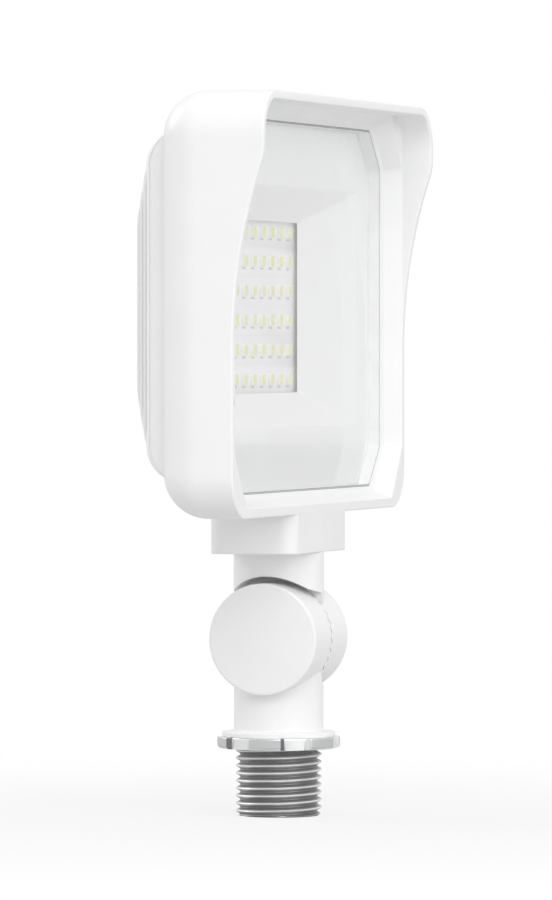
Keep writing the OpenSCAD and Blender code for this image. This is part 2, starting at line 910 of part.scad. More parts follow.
module clamp_washer() {
    color([0.6, 0.6, 0.62])
        difference() {
            rod_x(screw_head_d / 2, washer_x, washer_x + washer_t);
            rod_x(screw_hole_r, washer_x - over, washer_x + washer_t + over);
        }
}

// THREAD AND NUT

module threaded_nipple() {
    relief_z = thread_len - nut_t - relief_room;
    color([0.45, 0.45, 0.45])
        difference() {
            union() {
                cylinder(d1 = thread_d - 2 * thread_chamfer, d2 = thread_d, h = thread_chamfer);
                translate([0, 0, thread_chamfer])
                    cylinder(d = thread_d, h = relief_z - thread_chamfer);
                translate([0, 0, relief_z - join])
                    cylinder(d = thread_d - 2 * relief_depth, h = thread_len - relief_z + join);
                cylinder(d = nipple_end_d, h = thread_len + nipple_end_len);
            }
            translate([0, 0, -over])
                cylinder(d = nipple_bore_d, h = thread_len + nipple_end_len + 2 * over);
        }
}

// Flat wedge between two angles, longer than the nut's radius
module sector(half_angle, r) {
    polygon([
        [0, 0], [r * cos(half_angle), -r * sin(half_angle)],
        [r * cos(half_angle), r * sin(half_angle)]
    ]);
}

module lock_nut() {
    lug_r = nut_lug_d / 2;
    color([0.78, 0.78, 0.78])
        translate([0, 0, thread_len - nut_t])
            difference() {
                union() {
                    cylinder(d = nut_ring_d, h = nut_t);
                    intersection() {
                        union() {
                            translate([0, 0, nut_chamfer])
                                cylinder(r = lug_r, h = nut_t - nut_chamfer);
                            cylinder(r1 = lug_r - nut_chamfer, r2 = lug_r, h = nut_chamfer);
                        }
                        linear_extrude(nut_t)
                            for (i = [0 : nut_lugs - 1])
                                rotate(i * 360 / nut_lugs)
                                    sector(nut_lug_angle / 2, lug_r * 1.2);
                    }
                }
                translate([0, 0, -over])
                    cylinder(d = thread_d + 2 * running_gap, h = nut_t + 2 * over);
            }
}

housing();
cooling_fins();
glass_lens();
lens_gasket();
reflector();
light_board();
light_chips();
heat_pad();
board_screws();
driver_board();
insulating_sheet();
capacitors();
surge_disc();
rectifier();
driver_chips();
wire_terminal();
driver_screws();
board_leads();
ground_screw();
wire_grommet();
upper_arm();
neck_seal();
arm_screws();
lower_arm();
knuckle_seal();
clamp_screw();
clamp_washer();
threaded_nipple();
lock_nut();
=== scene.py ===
import json
import math

import bmesh
import bpy
import numpy as np
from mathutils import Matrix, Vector

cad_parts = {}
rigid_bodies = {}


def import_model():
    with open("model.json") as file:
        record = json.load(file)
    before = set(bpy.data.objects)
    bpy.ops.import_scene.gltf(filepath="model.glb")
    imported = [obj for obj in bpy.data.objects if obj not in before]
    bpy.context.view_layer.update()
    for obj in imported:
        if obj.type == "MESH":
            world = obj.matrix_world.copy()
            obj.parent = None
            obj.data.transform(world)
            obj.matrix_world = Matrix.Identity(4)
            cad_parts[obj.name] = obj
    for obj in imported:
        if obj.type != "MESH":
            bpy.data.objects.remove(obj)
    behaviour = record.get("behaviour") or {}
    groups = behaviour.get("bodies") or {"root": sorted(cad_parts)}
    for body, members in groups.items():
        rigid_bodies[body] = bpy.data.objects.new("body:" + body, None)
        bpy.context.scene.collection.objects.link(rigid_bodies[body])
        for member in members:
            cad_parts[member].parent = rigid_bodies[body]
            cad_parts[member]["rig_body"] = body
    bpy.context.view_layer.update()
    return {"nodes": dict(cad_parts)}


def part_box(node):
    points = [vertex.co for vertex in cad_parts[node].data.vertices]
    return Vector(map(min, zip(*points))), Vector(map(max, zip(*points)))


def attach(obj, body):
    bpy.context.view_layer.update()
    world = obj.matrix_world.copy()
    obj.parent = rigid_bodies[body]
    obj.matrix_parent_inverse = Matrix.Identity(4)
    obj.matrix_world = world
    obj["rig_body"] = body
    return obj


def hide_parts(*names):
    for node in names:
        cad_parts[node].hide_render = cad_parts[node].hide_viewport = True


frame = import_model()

# Lengths are in millimetres until a mesh is made, and the studio's are in metres. +Z is up and the beam
# leaves along -Y.
MM = 0.001


def box_mm(node):
    """Lowest and highest corner of a node, in millimetres."""
    low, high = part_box(node)
    return np.array(low) / MM, np.array(high) / MM


# Housing
tub_low, tub_high = box_mm("housing")
TUB_W = tub_high[0] - tub_low[0]
TUB_TOP = tub_high[2]
VISOR_Y = tub_low[1]
LIP_Y = -tub_high[1]
BLOCK_Z = tub_low[2]
BLOCK_W, BLOCK_D, BLOCK_H, BLOCK_R = 46.0, 2 * tub_high[1], 9.4, 4.0
TUB_Z = BLOCK_Z + BLOCK_H
TUB_H = TUB_TOP - TUB_Z
TUB_MID = TUB_Z + TUB_H / 2
TUB_DEPTH = 19.4
TUB_FLOOR_T = 1.9
CAVITY_R = 4.0
CORNER_R = 10.5
WALL = 2.0
LIP_H = 2.3
BACK_Y = LIP_Y + TUB_DEPTH
BEND_Y = BACK_Y - CORNER_R
FLOOR_Y = BACK_Y - TUB_FLOOR_T
VISOR_DROP = 12.7
VISOR_BEND_R = 15.0
SWEEP_R = 134.0
EDGE_SOFT = 0.4
REAR_HOLD = 0.5

# Glass and reflector
glass_low, glass_high = box_mm("glass_lens")
GLASS_W, GLASS_T, GLASS_H = glass_high - glass_low
GLASS_Y = glass_low[1]
GLASS_Z = (glass_low[2] + glass_high[2]) / 2
GLASS_CHAMFER = 9.3
GLASS_SLACK = 0.3
REFLECTOR_T = 1.2
GASKET = 0.4
SEAL_FOOT = 0.5
SEAL_SUNK = 0.02
PANE_GAP = 0.04
REBATE_W, REBATE_H = GLASS_W + 2 * GASKET, GLASS_H + 2 * GASKET
REBATE_CHAMFER = GLASS_CHAMFER + GASKET
BORDER_Y = GLASS_Y + GLASS_T + GLASS_SLACK
LEDGE_Y = BORDER_Y + REFLECTOR_T
LEDGE_W = 2.4
REBATE_Y = GLASS_Y - 0.1
RIM_W, RIM_SLOPE = 1.2, 0.45
RIM_Y = REBATE_Y - RIM_SLOPE * RIM_W
BORDER_SIDE, BORDER_TOP = 7.0, 14.9
MOUTH_W, MOUTH_H, MOUTH_R = GLASS_W - 2 * BORDER_SIDE, GLASS_H - 2 * BORDER_TOP, 1.6
WINDOW_W, WINDOW_H, WINDOW_R = 58.0, 41.3, 0.8
WINDOW_BACK_W, WINDOW_BACK_H, REFLECTOR_BACK_R = WINDOW_W + 6, WINDOW_H + 2.5, 2.2
FOOT_GAP = 1.1

# Knuckle and stem
THREAD_R = box_mm("threaded_nipple")[1][0]
THREAD_LEN = box_mm("lock_nut")[1][2]
ARM_RISE = 23.55
KNUCKLE_Z = THREAD_LEN + ARM_RISE
DISC_R, DISC_HALF = 13.4, 13.7
ARM_R, NECK_R = 10.75, 10.85
CUT_GAP = 0.1
CUT_R = math.hypot(ARM_R, NECK_R) + CUT_GAP
ARCH_R, ARCH_EASE_Y = 14.95, 8.8
TEETH, TOOTH_H, TOOTH_SHARE, TOOTH_RING = 36, 0.9, 0.9, 3.2
FACE_X = 0.05


# MESHES

# In metres, as a finished mesh is.
MERGE_DISTANCE, SHORTEST_EDGE = 2e-6, 1e-6
SHARP_ANGLE = math.radians(26)


def grid_faces(rows, columns, closed):
    """Quads over a grid of points whose last column joins the first; closed joins the last row to the
    first too."""
    i = np.arange(rows if closed else rows - 1)[:, None]
    j = np.arange(columns)[None, :]
    i_next = (i + 1) % rows
    j_next = (j + 1) % columns
    corners = [i * columns + j, i * columns + j_next, i_next * columns + j_next, i_next * columns + j]
    return np.stack(corners, -1).reshape(-1, 4)


def shell(rows, closed=False):
    """Points and faces of a closed skin over rows of points, each row a loop. Without closed, a middle
    point shuts the first and the last row."""
    count, width = rows.shape[:2]
    points = rows.reshape(-1, 3)
    faces = [grid_faces(count, width, closed)]
    if not closed:
        ends = np.stack([rows[0].mean(0), rows[-1].mean(0)])
        points = np.concatenate([points, ends])
        j = np.arange(width)
        j_next = (j + 1) % width
        start = np.full(width, count * width)
        last = (count - 1) * width
        faces.append(np.stack([start, j_next, j, j], -1))
        faces.append(np.stack([start + 1, last + j, last + j_next, last + j_next], -1))
    return outward(points, np.concatenate(faces))


def outward(points, faces):
    """The same faces, turned over if the volume that they enclose comes out negative."""
    a, b, c, d = (points[faces[:, k]] for k in range(4))
    volume = (a * (np.cross(b, c) + np.cross(c, d))).sum()
    return points, faces if volume > 0 else faces[:, ::-1]


def joined(parts):
    """Several pairs of points and faces as one pair."""
    offsets = np.cumsum([0] + [len(points) for points, _ in parts[:-1]])
    points = np.concatenate([points for points, _ in parts])
    return points, np.concatenate([faces + offset for (_, faces), offset in zip(parts, offsets)])


def in_scene(name, data):
    """A new object in the scene, at the origin."""
    made = bpy.data.objects.new(name, data)
    bpy.context.scene.collection.objects.link(made)
    return made


def piece(name, skin, material, body, nodes=()):
    """A mesh object from a skin in millimetres. Equal points are merged and edges sharper than
    SHARP_ANGLE stay crisp. The object rides on body and stands for nodes."""
    points, faces = skin
    mesh = bpy.data.meshes.new(name)
    mesh.from_pydata((points * MM).tolist(), [], [list(dict.fromkeys(f)) for f in faces.tolist()])
    welded = bmesh.new()
    welded.from_mesh(mesh)
    bmesh.ops.remove_doubles(welded, verts=welded.verts, dist=MERGE_DISTANCE)
    bmesh.ops.dissolve_degenerate(welded, dist=SHORTEST_EDGE, edges=welded.edges)
    welded.to_mesh(mesh)
    welded.free()
    mesh.shade_smooth()
    mesh.set_sharp_from_angle(angle=SHARP_ANGLE)
    made = in_scene(name, mesh)
    mesh.materials.append(material)
    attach(made, body)
    if nodes:
        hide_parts(*nodes)
    return made


def unit(vectors):
    """The same vectors at a length of 1."""
    length = np.linalg.norm(vectors, axis=-1, keepdims=True)
    return vectors / np.maximum(length, 1e-9)


def eased(start, corner, end, s):
    """Points of the quadratic curve (1-s)^2 P + 2s(1-s) B + s^2 Q, from P to Q round a corner B."""
    return (1 - s) ** 2 * start + 2 * s * (1 - s) * corner + s ** 2 * end


SOFT_STEPS, SOFT_ROOM, SOFT_HOLD = 4, 0.46, 0.2


def soften(corners, reach):
    """Rows of points along a run of corner rows, with each inner corner rounded by a quadratic curve. It
    starts and ends on the corner's two edges, reach away from it and no more than SOFT_ROOM of the shorter
    edge. One more row each side, SOFT_HOLD further out, keeps the shading of the flats flat."""
    corners = np.asarray(corners, float)
    rows = [corners[0]]
    for before, corner, after, wanted in zip(corners[:-2], corners[1:-1], corners[2:], reach):
        back, ahead = unit(before - corner), unit(after - corner)
        shorter = np.minimum(
            np.linalg.norm(before - corner, axis=-1), np.linalg.norm(after - corner, axis=-1)
        )
        room = SOFT_ROOM * shorter[:, None]
        near = np.minimum(wanted, room)
        far = near + np.minimum(SOFT_HOLD, 0.5 * (room - near))
        rows.append(corner + back * far)
        for s in np.linspace(0, 1, SOFT_STEPS + 1):
            rows.append(eased(corner + back * near, corner, corner + ahead * near, s))
        rows.append(corner + ahead * far)
    rows.append(corners[-1])
    return np.stack(rows)


def full_turn(count):
    """Angles of a full turn, in equal steps."""
    return np.linspace(0, 2 * math.pi, count, endpoint=False)


def turned(profile, a):
    """Loops of points (r cos a, r sin a, h), one for each (radius, height) corner of a profile. Radius and
    height may differ from point to point."""
    return [np.stack([r * np.cos(a), r * np.sin(a), np.broadcast_to(h, len(a))], -1) for r, h in profile]


# OUTLINES IN X AND Z

CORNER_POINTS, SIDE_POINTS, TOP_POINTS = 25, 71, 23
CUT_EASE, CUT_POINTS = 0.8, 7


def outline(width, height, middle, corner_run):
    """A closed loop in X and Z round a middle height. corner_run(corner, towards, onwards) gives the
    points of one corner, reached along towards and left along onwards; straight points lie between the
    corners. The count of points is the same for every shape."""
    runs = []
    for k in range(4):
        arriving, leaving = math.pi / 2 * (k + 1), math.pi / 2 * (k + 2)
        towards = np.array([math.cos(arriving), math.sin(arriving)])
        onwards = np.array([math.cos(leaving), math.sin(leaving)])
        corner = np.array([width, height]) / 2 * [1 if k in (0, 3) else -1, 1 if k < 2 else -1]
        runs.append(corner_run(corner, towards, onwards))
    loop = []
    for k, run in enumerate(runs):
        following = runs[(k + 1) % 4][0]
        count = TOP_POINTS if k in (0, 2) else SIDE_POINTS
        t = np.linspace(0, 1, count + 2)[1:-1, None]
        loop += [run, run[-1] + (following - run[-1]) * t]
    return np.concatenate(loop) + np.array([0, middle])


def rounded(width, height, radius, middle):
    """Outline with quarter-circle corners: centre + r (cos a, sin a)."""
    def run(corner, towards, onwards):
        centre = corner + radius * (onwards - towards)
        a = np.linspace(0, math.pi / 2, CORNER_POINTS)[:, None]
        return centre - onwards * radius * np.cos(a) + towards * radius * np.sin(a)
    return outline(width, height, middle, run)


def chamfered(width, height, chamfer, middle, rise=0.0):
    """Outline with corners cut straight, by chamfer across and chamfer plus rise up. Each end of the cut
    is eased over CUT_EASE."""
    cut = np.array([chamfer, chamfer + rise])
    s = np.linspace(0, 1, CUT_POINTS)[:, None]

    def run(corner, towards, onwards):
        a, b = corner - towards * cut, corner + onwards * cut
        along = (b - a) / np.linalg.norm(b - a)
        first = eased(a - towards * CUT_EASE, a, a + along * CUT_EASE, s)
        last = eased(b - along * CUT_EASE, b, b + onwards * CUT_EASE, s)
        t = np.linspace(0, 1, CORNER_POINTS - 2 * CUT_POINTS + 2)[1:-1, None]
        return np.concatenate([first, first[-1] + (last[0] - first[-1]) * t, last])
    return outline(width, height, middle, run)


def at_depth(loop, y):
    """An X and Z loop set at the depth y, which may differ from point to point."""
    return np.stack([loop[:, 0], np.broadcast_to(y, len(loop)), loop[:, 1]], -1)


def at_depths(*pairs):
    """Rows of X and Z loops, each set at its depth."""
    return [at_depth(loop, y) for loop, y in pairs]


# HOUSING

def visor_edge(z):
    """Depth of the housing's front edge at height z: the lip plane, a long hollow arc, a short round
    arc and the visor plane, each tangent to the next."""
    reach = LIP_Y - VISOR_Y
    angle = math.acos(1 - reach / (SWEEP_R + VISOR_BEND_R))
    bend_top = TUB_TOP - VISOR_DROP
    sweep_end = bend_top - VISOR_BEND_R * math.sin(angle)
    sweep_start = sweep_end - SWEEP_R * math.sin(angle)
    hollow = LIP_Y - SWEEP_R + np.sqrt(np.maximum(SWEEP_R ** 2 - (z - sweep_start) ** 2, 0))
    bend = VISOR_Y + VISOR_BEND_R - np.sqrt(np.maximum(VISOR_BEND_R ** 2 - (bend_top - z) ** 2, 0))
    edge = np.where(z > sweep_start, hollow, LIP_Y)
    edge = np.where(z > sweep_end, bend, edge)
    return np.where(z > bend_top, VISOR_Y, edge)


def tub_skin():
    """Rows of outlines from the rear face round to the front edge, in through the visor and the glass
    opening, and back to the cavity's floor. The rear edge is a quarter circle, inset r (1 - sin a) at the
    depth r cos a, so its corners are balls. One more row, REAR_HOLD further in, keeps the rear flat."""
    rear = []
    for a in np.linspace(0, math.pi / 2, 15):
        inset = CORNER_R * (1 - math.sin(a))
        loop = rounded(TUB_W - 2 * inset, TUB_H - 2 * inset, CORNER_R * math.sin(a), TUB_MID)
        rear.append(at_depth(loop, BEND_Y + CORNER_R * math.cos(a)))
    in_from_side = 2 * (CORNER_R + REAR_HOLD)
    held = rounded(TUB_W - in_from_side, TUB_H - in_from_side, 0, TUB_MID)
    outer = rounded(TUB_W, TUB_H, CORNER_R, TUB_MID)
    inner = rounded(TUB_W - 2 * WALL, TUB_H - 2 * WALL, CORNER_R - WALL, TUB_MID)
    open_h = TUB_H - WALL - LIP_H
    lip = chamfered(
        TUB_W - 2 * WALL, open_h, REBATE_CHAMFER, TUB_Z + LIP_H + open_h / 2, (open_h - REBATE_H) / 2
    )
    rim = chamfered(REBATE_W + 2 * RIM_W, REBATE_H + 2 * RIM_W, REBATE_CHAMFER, GLASS_Z, RIM_W)
    rebate = chamfered(REBATE_W, REBATE_H, REBATE_CHAMFER, GLASS_Z)
    cavity = rounded(REBATE_W - 2 * LEDGE_W, REBATE_H - 2 * LEDGE_W, CAVITY_R, GLASS_Z)
    centre = rounded(REBATE_W / 2, REBATE_H / 2, CAVITY_R, GLASS_Z)
    front = at_depths(
        (outer, visor_edge(outer[:, 1])), (inner, visor_edge(inner[:, 1])), (inner, LIP_Y), (lip, LIP_Y),
        (rim, RIM_Y), (rebate, REBATE_Y), (rebate, LEDGE_Y), (cavity, LEDGE_Y), (cavity, FLOOR_Y),
        (centre, FLOOR_Y)
    )
    rows = soften([rear[-1]] + front, [EDGE_SOFT, EDGE_SOFT, 0.5, 0.35, 0.25, 0.15, 0.2, 0.3, 0.8])
    return shell(np.concatenate([[at_depth(held, BACK_Y)], rear, rows[1:]]))


SPIGOT_BORE_R, SPIGOT_BORE_LEN = 8.85, 7.3
SEAL_SEAT_R, SEAL_SEAT_LEN = 9.9, 1.5
LEAN_Y, LEAN_RISE = 8.0, 3.0
SHOULDER_FRONT, SHOULDER_REAR = 0.9, 2.9
SUNK_FRONT, SUNK_REAR, SUNK_BACK = 1.0, CORNER_R - 2, 0.5


def block_skin():
    """The neck block: a rounded rectangle in X and Y carried down from inside the tub, then in across its
    foot to the neck seal's seat and the spigot's bore. Its rear slopes up into the tub."""
    a = full_turn(160)
    half = np.array([BLOCK_W / 2 - BLOCK_R, BLOCK_D / 2 - BLOCK_R])
    round_part = np.stack([np.cos(a), np.sin(a)], -1)
    corner = np.sign(np.round(round_part, 6)) * half
    loop = corner + BLOCK_R * round_part
    bore, seat = round_part * SPIGOT_BORE_R, round_part * SEAL_SEAT_R

    def level(xy, z):
        return np.stack([xy[:, 0], xy[:, 1], np.broadcast_to(z, len(xy))], -1)

    rearward = np.clip((loop[:, 1] - LEAN_Y) / (BLOCK_D / 2 - LEAN_Y), 0, 1)
    leaning = loop.copy()
    leaning[:, 1] = np.minimum(loop[:, 1], BACK_Y - SUNK_BACK)
    top = level(leaning, TUB_Z + SUNK_REAR)
    front = loop[:, 1] < 0
    top[front, 2] = TUB_Z + SUNK_FRONT
    sunk = np.where(front, SHOULDER_FRONT, SHOULDER_REAR * (1 - rearward))
    shoulder = level(loop, TUB_Z + LEAN_RISE * rearward + sunk)
    seat_z = BLOCK_Z + SEAL_SEAT_LEN
    corners = [
        top, shoulder, level(loop, BLOCK_Z), level(seat, BLOCK_Z), level(seat, seat_z),
        level(bore, seat_z), level(bore, BLOCK_Z + SPIGOT_BORE_LEN)
    ]
    return shell(soften(corners, [0.6, 0.5, 0.1, 0.1, 0.1]))


FINS_A_SIDE = 8
FIN_PITCH, FIN_T, FIN_H, FIN_ROOT = 8.0, 2.0, 81.0, 1.0
FIN_OUTER, FIN_STEP, FIN_MOST = 5.5, 3.4, 15.6
FIN_END_SHARE = 1.5
FIN_TIP_FLAT, FIN_GROOVE, FIN_SUNK = 0.05, 0.3, 0.3


def fin_reach(index):
    """How far a fin stands out, counted from the middle one; the outer fins step down."""
    return min(FIN_MOST, FIN_OUTER + (FINS_A_SIDE - 1 - index) * FIN_STEP)


def fin_skin(x, reach):
    """One fin. Height up the fin is a row, and across it runs a section whose half width is t/2, widened
    by a hollow quarter circle at the root and narrowed by a half circle at the rear edge. A point
    FIN_GROOVE from that edge, before the half circle, leaves a shallow groove below it. The rear edge falls
    away at both ends along an arc whose radius is a share of the reach."""
    end_r = FIN_END_SHARE * reach
    end_h = math.sqrt(end_r ** 2 - (end_r - reach) ** 2)
    arc = np.linspace(0, math.asin(end_h / end_r), 22)
    up = FIN_H / 2 - end_h + end_r * np.sin(arc)
    z = np.concatenate([-up[::-1], np.linspace(-up[0], up[0], 6)[1:-1], up])
    past = np.maximum(np.abs(z) - (FIN_H / 2 - end_h), 0)
    out = reach - end_r + np.sqrt(np.maximum(end_r ** 2 - past ** 2, 0))
    tip_r = FIN_T / 2 - FIN_TIP_FLAT
    q = np.linspace(0, math.pi / 2, 7)
    rise = FIN_ROOT * (1 - np.cos(q))
    tip = np.concatenate([[FIN_GROOVE], tip_r * (1 - np.sin(q))])
    height = np.concatenate([
        np.broadcast_to(rise, (len(z), len(q))), 0.5 * out[:, None], out[:, None] - tip
    ], 1)
    height = np.clip(height, 0, out[:, None])
    root_in = np.clip(FIN_ROOT - height, 0, FIN_ROOT)
    flare = FIN_ROOT - np.sqrt(np.maximum(FIN_ROOT ** 2 - root_in ** 2, 0))
    tip_in = np.clip(tip_r - (out[:, None] - height), 0, tip_r)
    half = FIN_T / 2 + flare - tip_r + np.sqrt(np.maximum(tip_r ** 2 - tip_in ** 2, 0))
    left = np.stack([x - half, BACK_Y + height, np.broadcast_to(z[:, None], height.shape)], -1)
    right = left[:, ::-1] * [-1, 1, 1] + [2 * x, 0, 0]
    rows = np.concatenate([left, right], 1)
    foot = np.array([0, FIN_SUNK, 0])
    rows = np.concatenate([rows[:, :1] - foot, rows, rows[:, -1:] - foot], 1) + [0, 0, GLASS_Z]
    return shell(rows)


def fins_skin():
    """Both sides' fins, half a pitch and then whole pitches from the middle."""
    places = [(side, i) for side in (-1, 1) for i in range(FINS_A_SIDE)]
    return joined([fin_skin(side * (i + 0.5) * FIN_PITCH, fin_reach(i)) for side, i in places])


# GLASS, SEAL AND REFLECTOR

def pane_skin():
    """The glass: cut outlines from its front face round the ground edge to its rear face."""
    middle = chamfered(GLASS_W * 0.5, GLASS_H * 0.5, GLASS_CHAMFER, GLASS_Z)
    edge = chamfered(GLASS_W - 2 * PANE_GAP, GLASS_H - 2 * PANE_GAP, GLASS_CHAMFER, GLASS_Z)
    rear = GLASS_Y + GLASS_T
    rows = at_depths((middle, GLASS_Y), (edge, GLASS_Y), (edge, rear), (middle, rear))
    return shell(soften(rows, [0.2, 0.2]))


FLAT_SHARE = 0.9


def grind_edge(pane):
    """Faces of the pane that look sideways get the ground edge's material."""
    pane.data.materials.append(GROUND_GLASS)
    normals = np.empty(3 * len(pane.data.polygons))
    pane.data.polygons.foreach_get("normal", normals)
    sideways = np.abs(normals.reshape(-1, 3)[:, 1]) < FLAT_SHARE
    pane.data.polygons.foreach_set("material_index", sideways.astype(int))


def seal_skin():
    """The rubber seal: a closed section carried round the glass, a bead in front, the wall beside the
    glass and a foot behind it."""
    outer = chamfered(REBATE_W, REBATE_H, REBATE_CHAMFER, GLASS_Z)
    inner = chamfered(GLASS_W, GLASS_H, GLASS_CHAMFER, GLASS_Z)
    foot_w, foot_h = GLASS_W - 2 * SEAL_FOOT, GLASS_H - 2 * SEAL_FOOT
    foot = chamfered(foot_w, foot_h, GLASS_CHAMFER - SEAL_FOOT / 2, GLASS_Z)
    front, rear = GLASS_Y + SEAL_SUNK, GLASS_Y + GLASS_T
    section = at_depths(
        (foot, BORDER_Y), (outer, BORDER_Y), (outer, front), (inner, front), (inner, rear), (foot, rear),
        (foot, BORDER_Y)
    )
    return shell(soften(section, [0.1, 0.25, 0.25, 0.02, 0.02])[:-1], closed=True)


def reflector_skin():
    """The reflector: a flat border, four sloped sides down to the window, and the same again behind at
    a wall's thickness. The section is carried round as rows of outlines."""
    border = chamfered(REBATE_W - GLASS_SLACK, REBATE_H - GLASS_SLACK, REBATE_CHAMFER, GLASS_Z)
    mouth = rounded(MOUTH_W, MOUTH_H, MOUTH_R, GLASS_Z)
    window = rounded(WINDOW_W, WINDOW_H, WINDOW_R, GLASS_Z)
    mouth_back = rounded(MOUTH_W + 2 * REFLECTOR_T, MOUTH_H + 2 * REFLECTOR_T, REFLECTOR_BACK_R, GLASS_Z)
    window_back = rounded(WINDOW_BACK_W, WINDOW_BACK_H, REFLECTOR_BACK_R, GLASS_Z)
    foot_y = CHIP_FOOT_Y - FOOT_GAP
    section = at_depths(
        (border, LEDGE_Y), (border, BORDER_Y), (mouth, BORDER_Y), (window, foot_y), (window_back, foot_y),
        (mouth_back, LEDGE_Y), (border, LEDGE_Y)
    )
    return shell(soften(section, [0.2, 0.7, 0.3, 0.1, 0.3])[:-1], closed=True)


# LIGHT BOARD

CHIP_ROWS, CHIP_COLUMNS = 6, 8
CHIP_STEP_X, CHIP_STEP_Z, CHIP_SHIFT_X, CHIP_SHIFT_Z = 7.32, 7.14, -0.8, 0.42
CHIP_W, CHIP_H, CHIP_T = 3.5, 2.8, 0.7
CHIP_FOOT_Y = box_mm("light_board")[0][1]
# The last four numbers are the size, thickness and drop of the grey painted shadow under each chip.
SOLDER_OUT, CHIP_SHADOW_W, CHIP_SHADOW_H, CHIP_SHADOW_T, CHIP_SHADOW_DROP = 0.05, 2.8, 0.3, 0.03, 0.45


def squircle(width, height, radius):
    """A small outline in X and Z with round corners of four points, for the pieces that repeat."""
    a = np.concatenate([np.linspace(k, k + 1, 4) for k in range(4)]) * math.pi / 2
    round_part = np.stack([np.cos(a), np.sin(a)], -1)
    signs = np.repeat(np.array([[1, 1], [-1, 1], [-1, -1], [1, -1]]), 4, 0)
    return signs * [width / 2 - radius, height / 2 - radius] + radius * round_part


def stacked(levels):
    """Rows of small outlines, each given as (width, height, radius, depth)."""
    return np.stack(at_depths(*[(squircle(w, h, r), y) for w, h, r, y in levels]))


def chip_places():
    """Even steps either side of the shifted middle, in columns and rows."""
    across = CHIP_SHIFT_X + (np.arange(CHIP_COLUMNS) - (CHIP_COLUMNS - 1) / 2) * CHIP_STEP_X
    up = GLASS_Z + CHIP_SHIFT_Z + (np.arange(CHIP_ROWS) - (CHIP_ROWS - 1) / 2) * CHIP_STEP_Z
    return [(x, 0, z) for z in up for x in across]


def repeated(skin, places):
    """A skin set down at each place."""
    points, faces = skin
    return joined([(points + np.array(place), faces) for place in places])


def chip_case_skin():
    """A chip's white case: a low block whose walls lean in a little, with a sunk well in front."""
    front = CHIP_FOOT_Y - CHIP_T
    return shell(stacked([
        (CHIP_W, CHIP_H, 0.15, CHIP_FOOT_Y), (CHIP_W - 0.06, CHIP_H - 0.06, 0.15, front + 0.08),
        (CHIP_W - 0.16, CHIP_H - 0.16, 0.15, front), (CHIP_W - 0.4, CHIP_H - 0.34, 0.3, front),
        (CHIP_W - 0.6, CHIP_H - 0.5, 0.35, front + 0.2)
    ]))


def phosphor_skin():
    """The yellow filling of the well, whose face bulges a little."""
    front = CHIP_FOOT_Y - CHIP_T
    return shell(stacked([
        (CHIP_W - 0.55, CHIP_H - 0.46, 0.3, front + 0.25),
        (CHIP_W - 0.45, CHIP_H - 0.38, 0.3, front + 0.06),
        (CHIP_W - 0.9, CHIP_H - 0.8, 0.3, front + 0.02), (CHIP_W - 1.9, CHIP_H - 1.6, 0.2, front)
    ]))


def solder_skin():
    """The solder at both ends of a chip, a small fillet that climbs its foot."""
    rows = stacked([
        (0.7, 2.0, 0.15, CHIP_FOOT_Y), (0.6, 1.9, 0.2, CHIP_FOOT_Y - 0.08),
        (0.25, 1.5, 0.1, CHIP_FOOT_Y - 0.16)
    ])
    out = CHIP_W / 2 + SOLDER_OUT
    return joined([shell(rows + np.array([side * out, 0, 0])) for side in (-1, 1)])


def chip_shadow_skin():
    """A grey mark on the board under a chip, a painted shadow of the chip."""
    rows = stacked([(CHIP_SHADOW_W, CHIP_SHADOW_H, 0.12, y) for y in (CHIP_FOOT_Y, CHIP_FOOT_Y - CHIP_SHADOW_T)])
    return shell(rows + np.array([0, 0, -CHIP_H / 2 - CHIP_SHADOW_DROP]))


# STEM

THREAD_PITCH, THREAD_DEPTH, THREAD_CHAMFER = 25.4 / 14, 1.2, 0.9
THREAD_START, THREAD_END_GAP = -1.66, 0.05
FLANK_GAIN, FLANK_HOLD, FLANK_ROUND = 1.14, 0.09, 0.35
BORE_R, END_R, END_LEN, END_LAP, END_RIM = 7.0, 8.5, 5.0, 1.0, 0.4
STEM_TURNS = 96


def thread_skin():
    """The nipple. A row follows one line of the thread's profile round the stem at the height
    pitch * (row / steps + start + angle / 360), so crests and roots lie along rows. The last column of a
    row joins the first column of the row one pitch further up. Between the flat crest and root the depth
    is a blend of t and the smooth step t^2 (3 - 2t). The ends are cut flat and chamfered."""
    turns, steps = STEM_TURNS, 14
    rows = steps * (math.ceil(THREAD_LEN / THREAD_PITCH) + 2)
    k = np.arange(rows + steps)[:, None]
    a = full_turn(turns)[None, :]
    z = THREAD_PITCH * (k / steps + THREAD_START + a / (2 * math.pi))
    phase = (k / steps) % 1
    t = np.clip(np.abs(phase - 0.5) * 2 * FLANK_GAIN - FLANK_HOLD, 0, 1)
    depth = THREAD_DEPTH * (1 - (t * t * (3 - 2 * t) * FLANK_ROUND + t * (1 - FLANK_ROUND)))
    depth = np.broadcast_to(depth, z.shape)
    limit = THREAD_R - THREAD_CHAMFER + np.clip(z, 0, THREAD_CHAMFER)
    r = np.minimum(THREAD_R - depth, limit)
    z = np.clip(z, 0, THREAD_LEN - THREAD_END_GAP)
    grid = np.stack([r * np.cos(a), r * np.sin(a), z], -1)
    points = grid.reshape(-1, 3)
    i = np.arange(rows + steps - 1)[:, None]
    j = np.arange(turns)[None, :]
    wraps = j == turns - 1
    i_right = np.where(wraps, i + steps, i)
    j_right = np.where(wraps, 0, j + 1)
    inside = np.broadcast_to(i_right + 1 < rows + steps, (rows + steps - 1, turns))
    quads = np.stack([
        i * turns + j, i_right * turns + j_right, (i_right + 1) * turns + j_right, (i + 1) * turns + j
    ], -1)[inside]
    return points, outward(points, quads)[1]


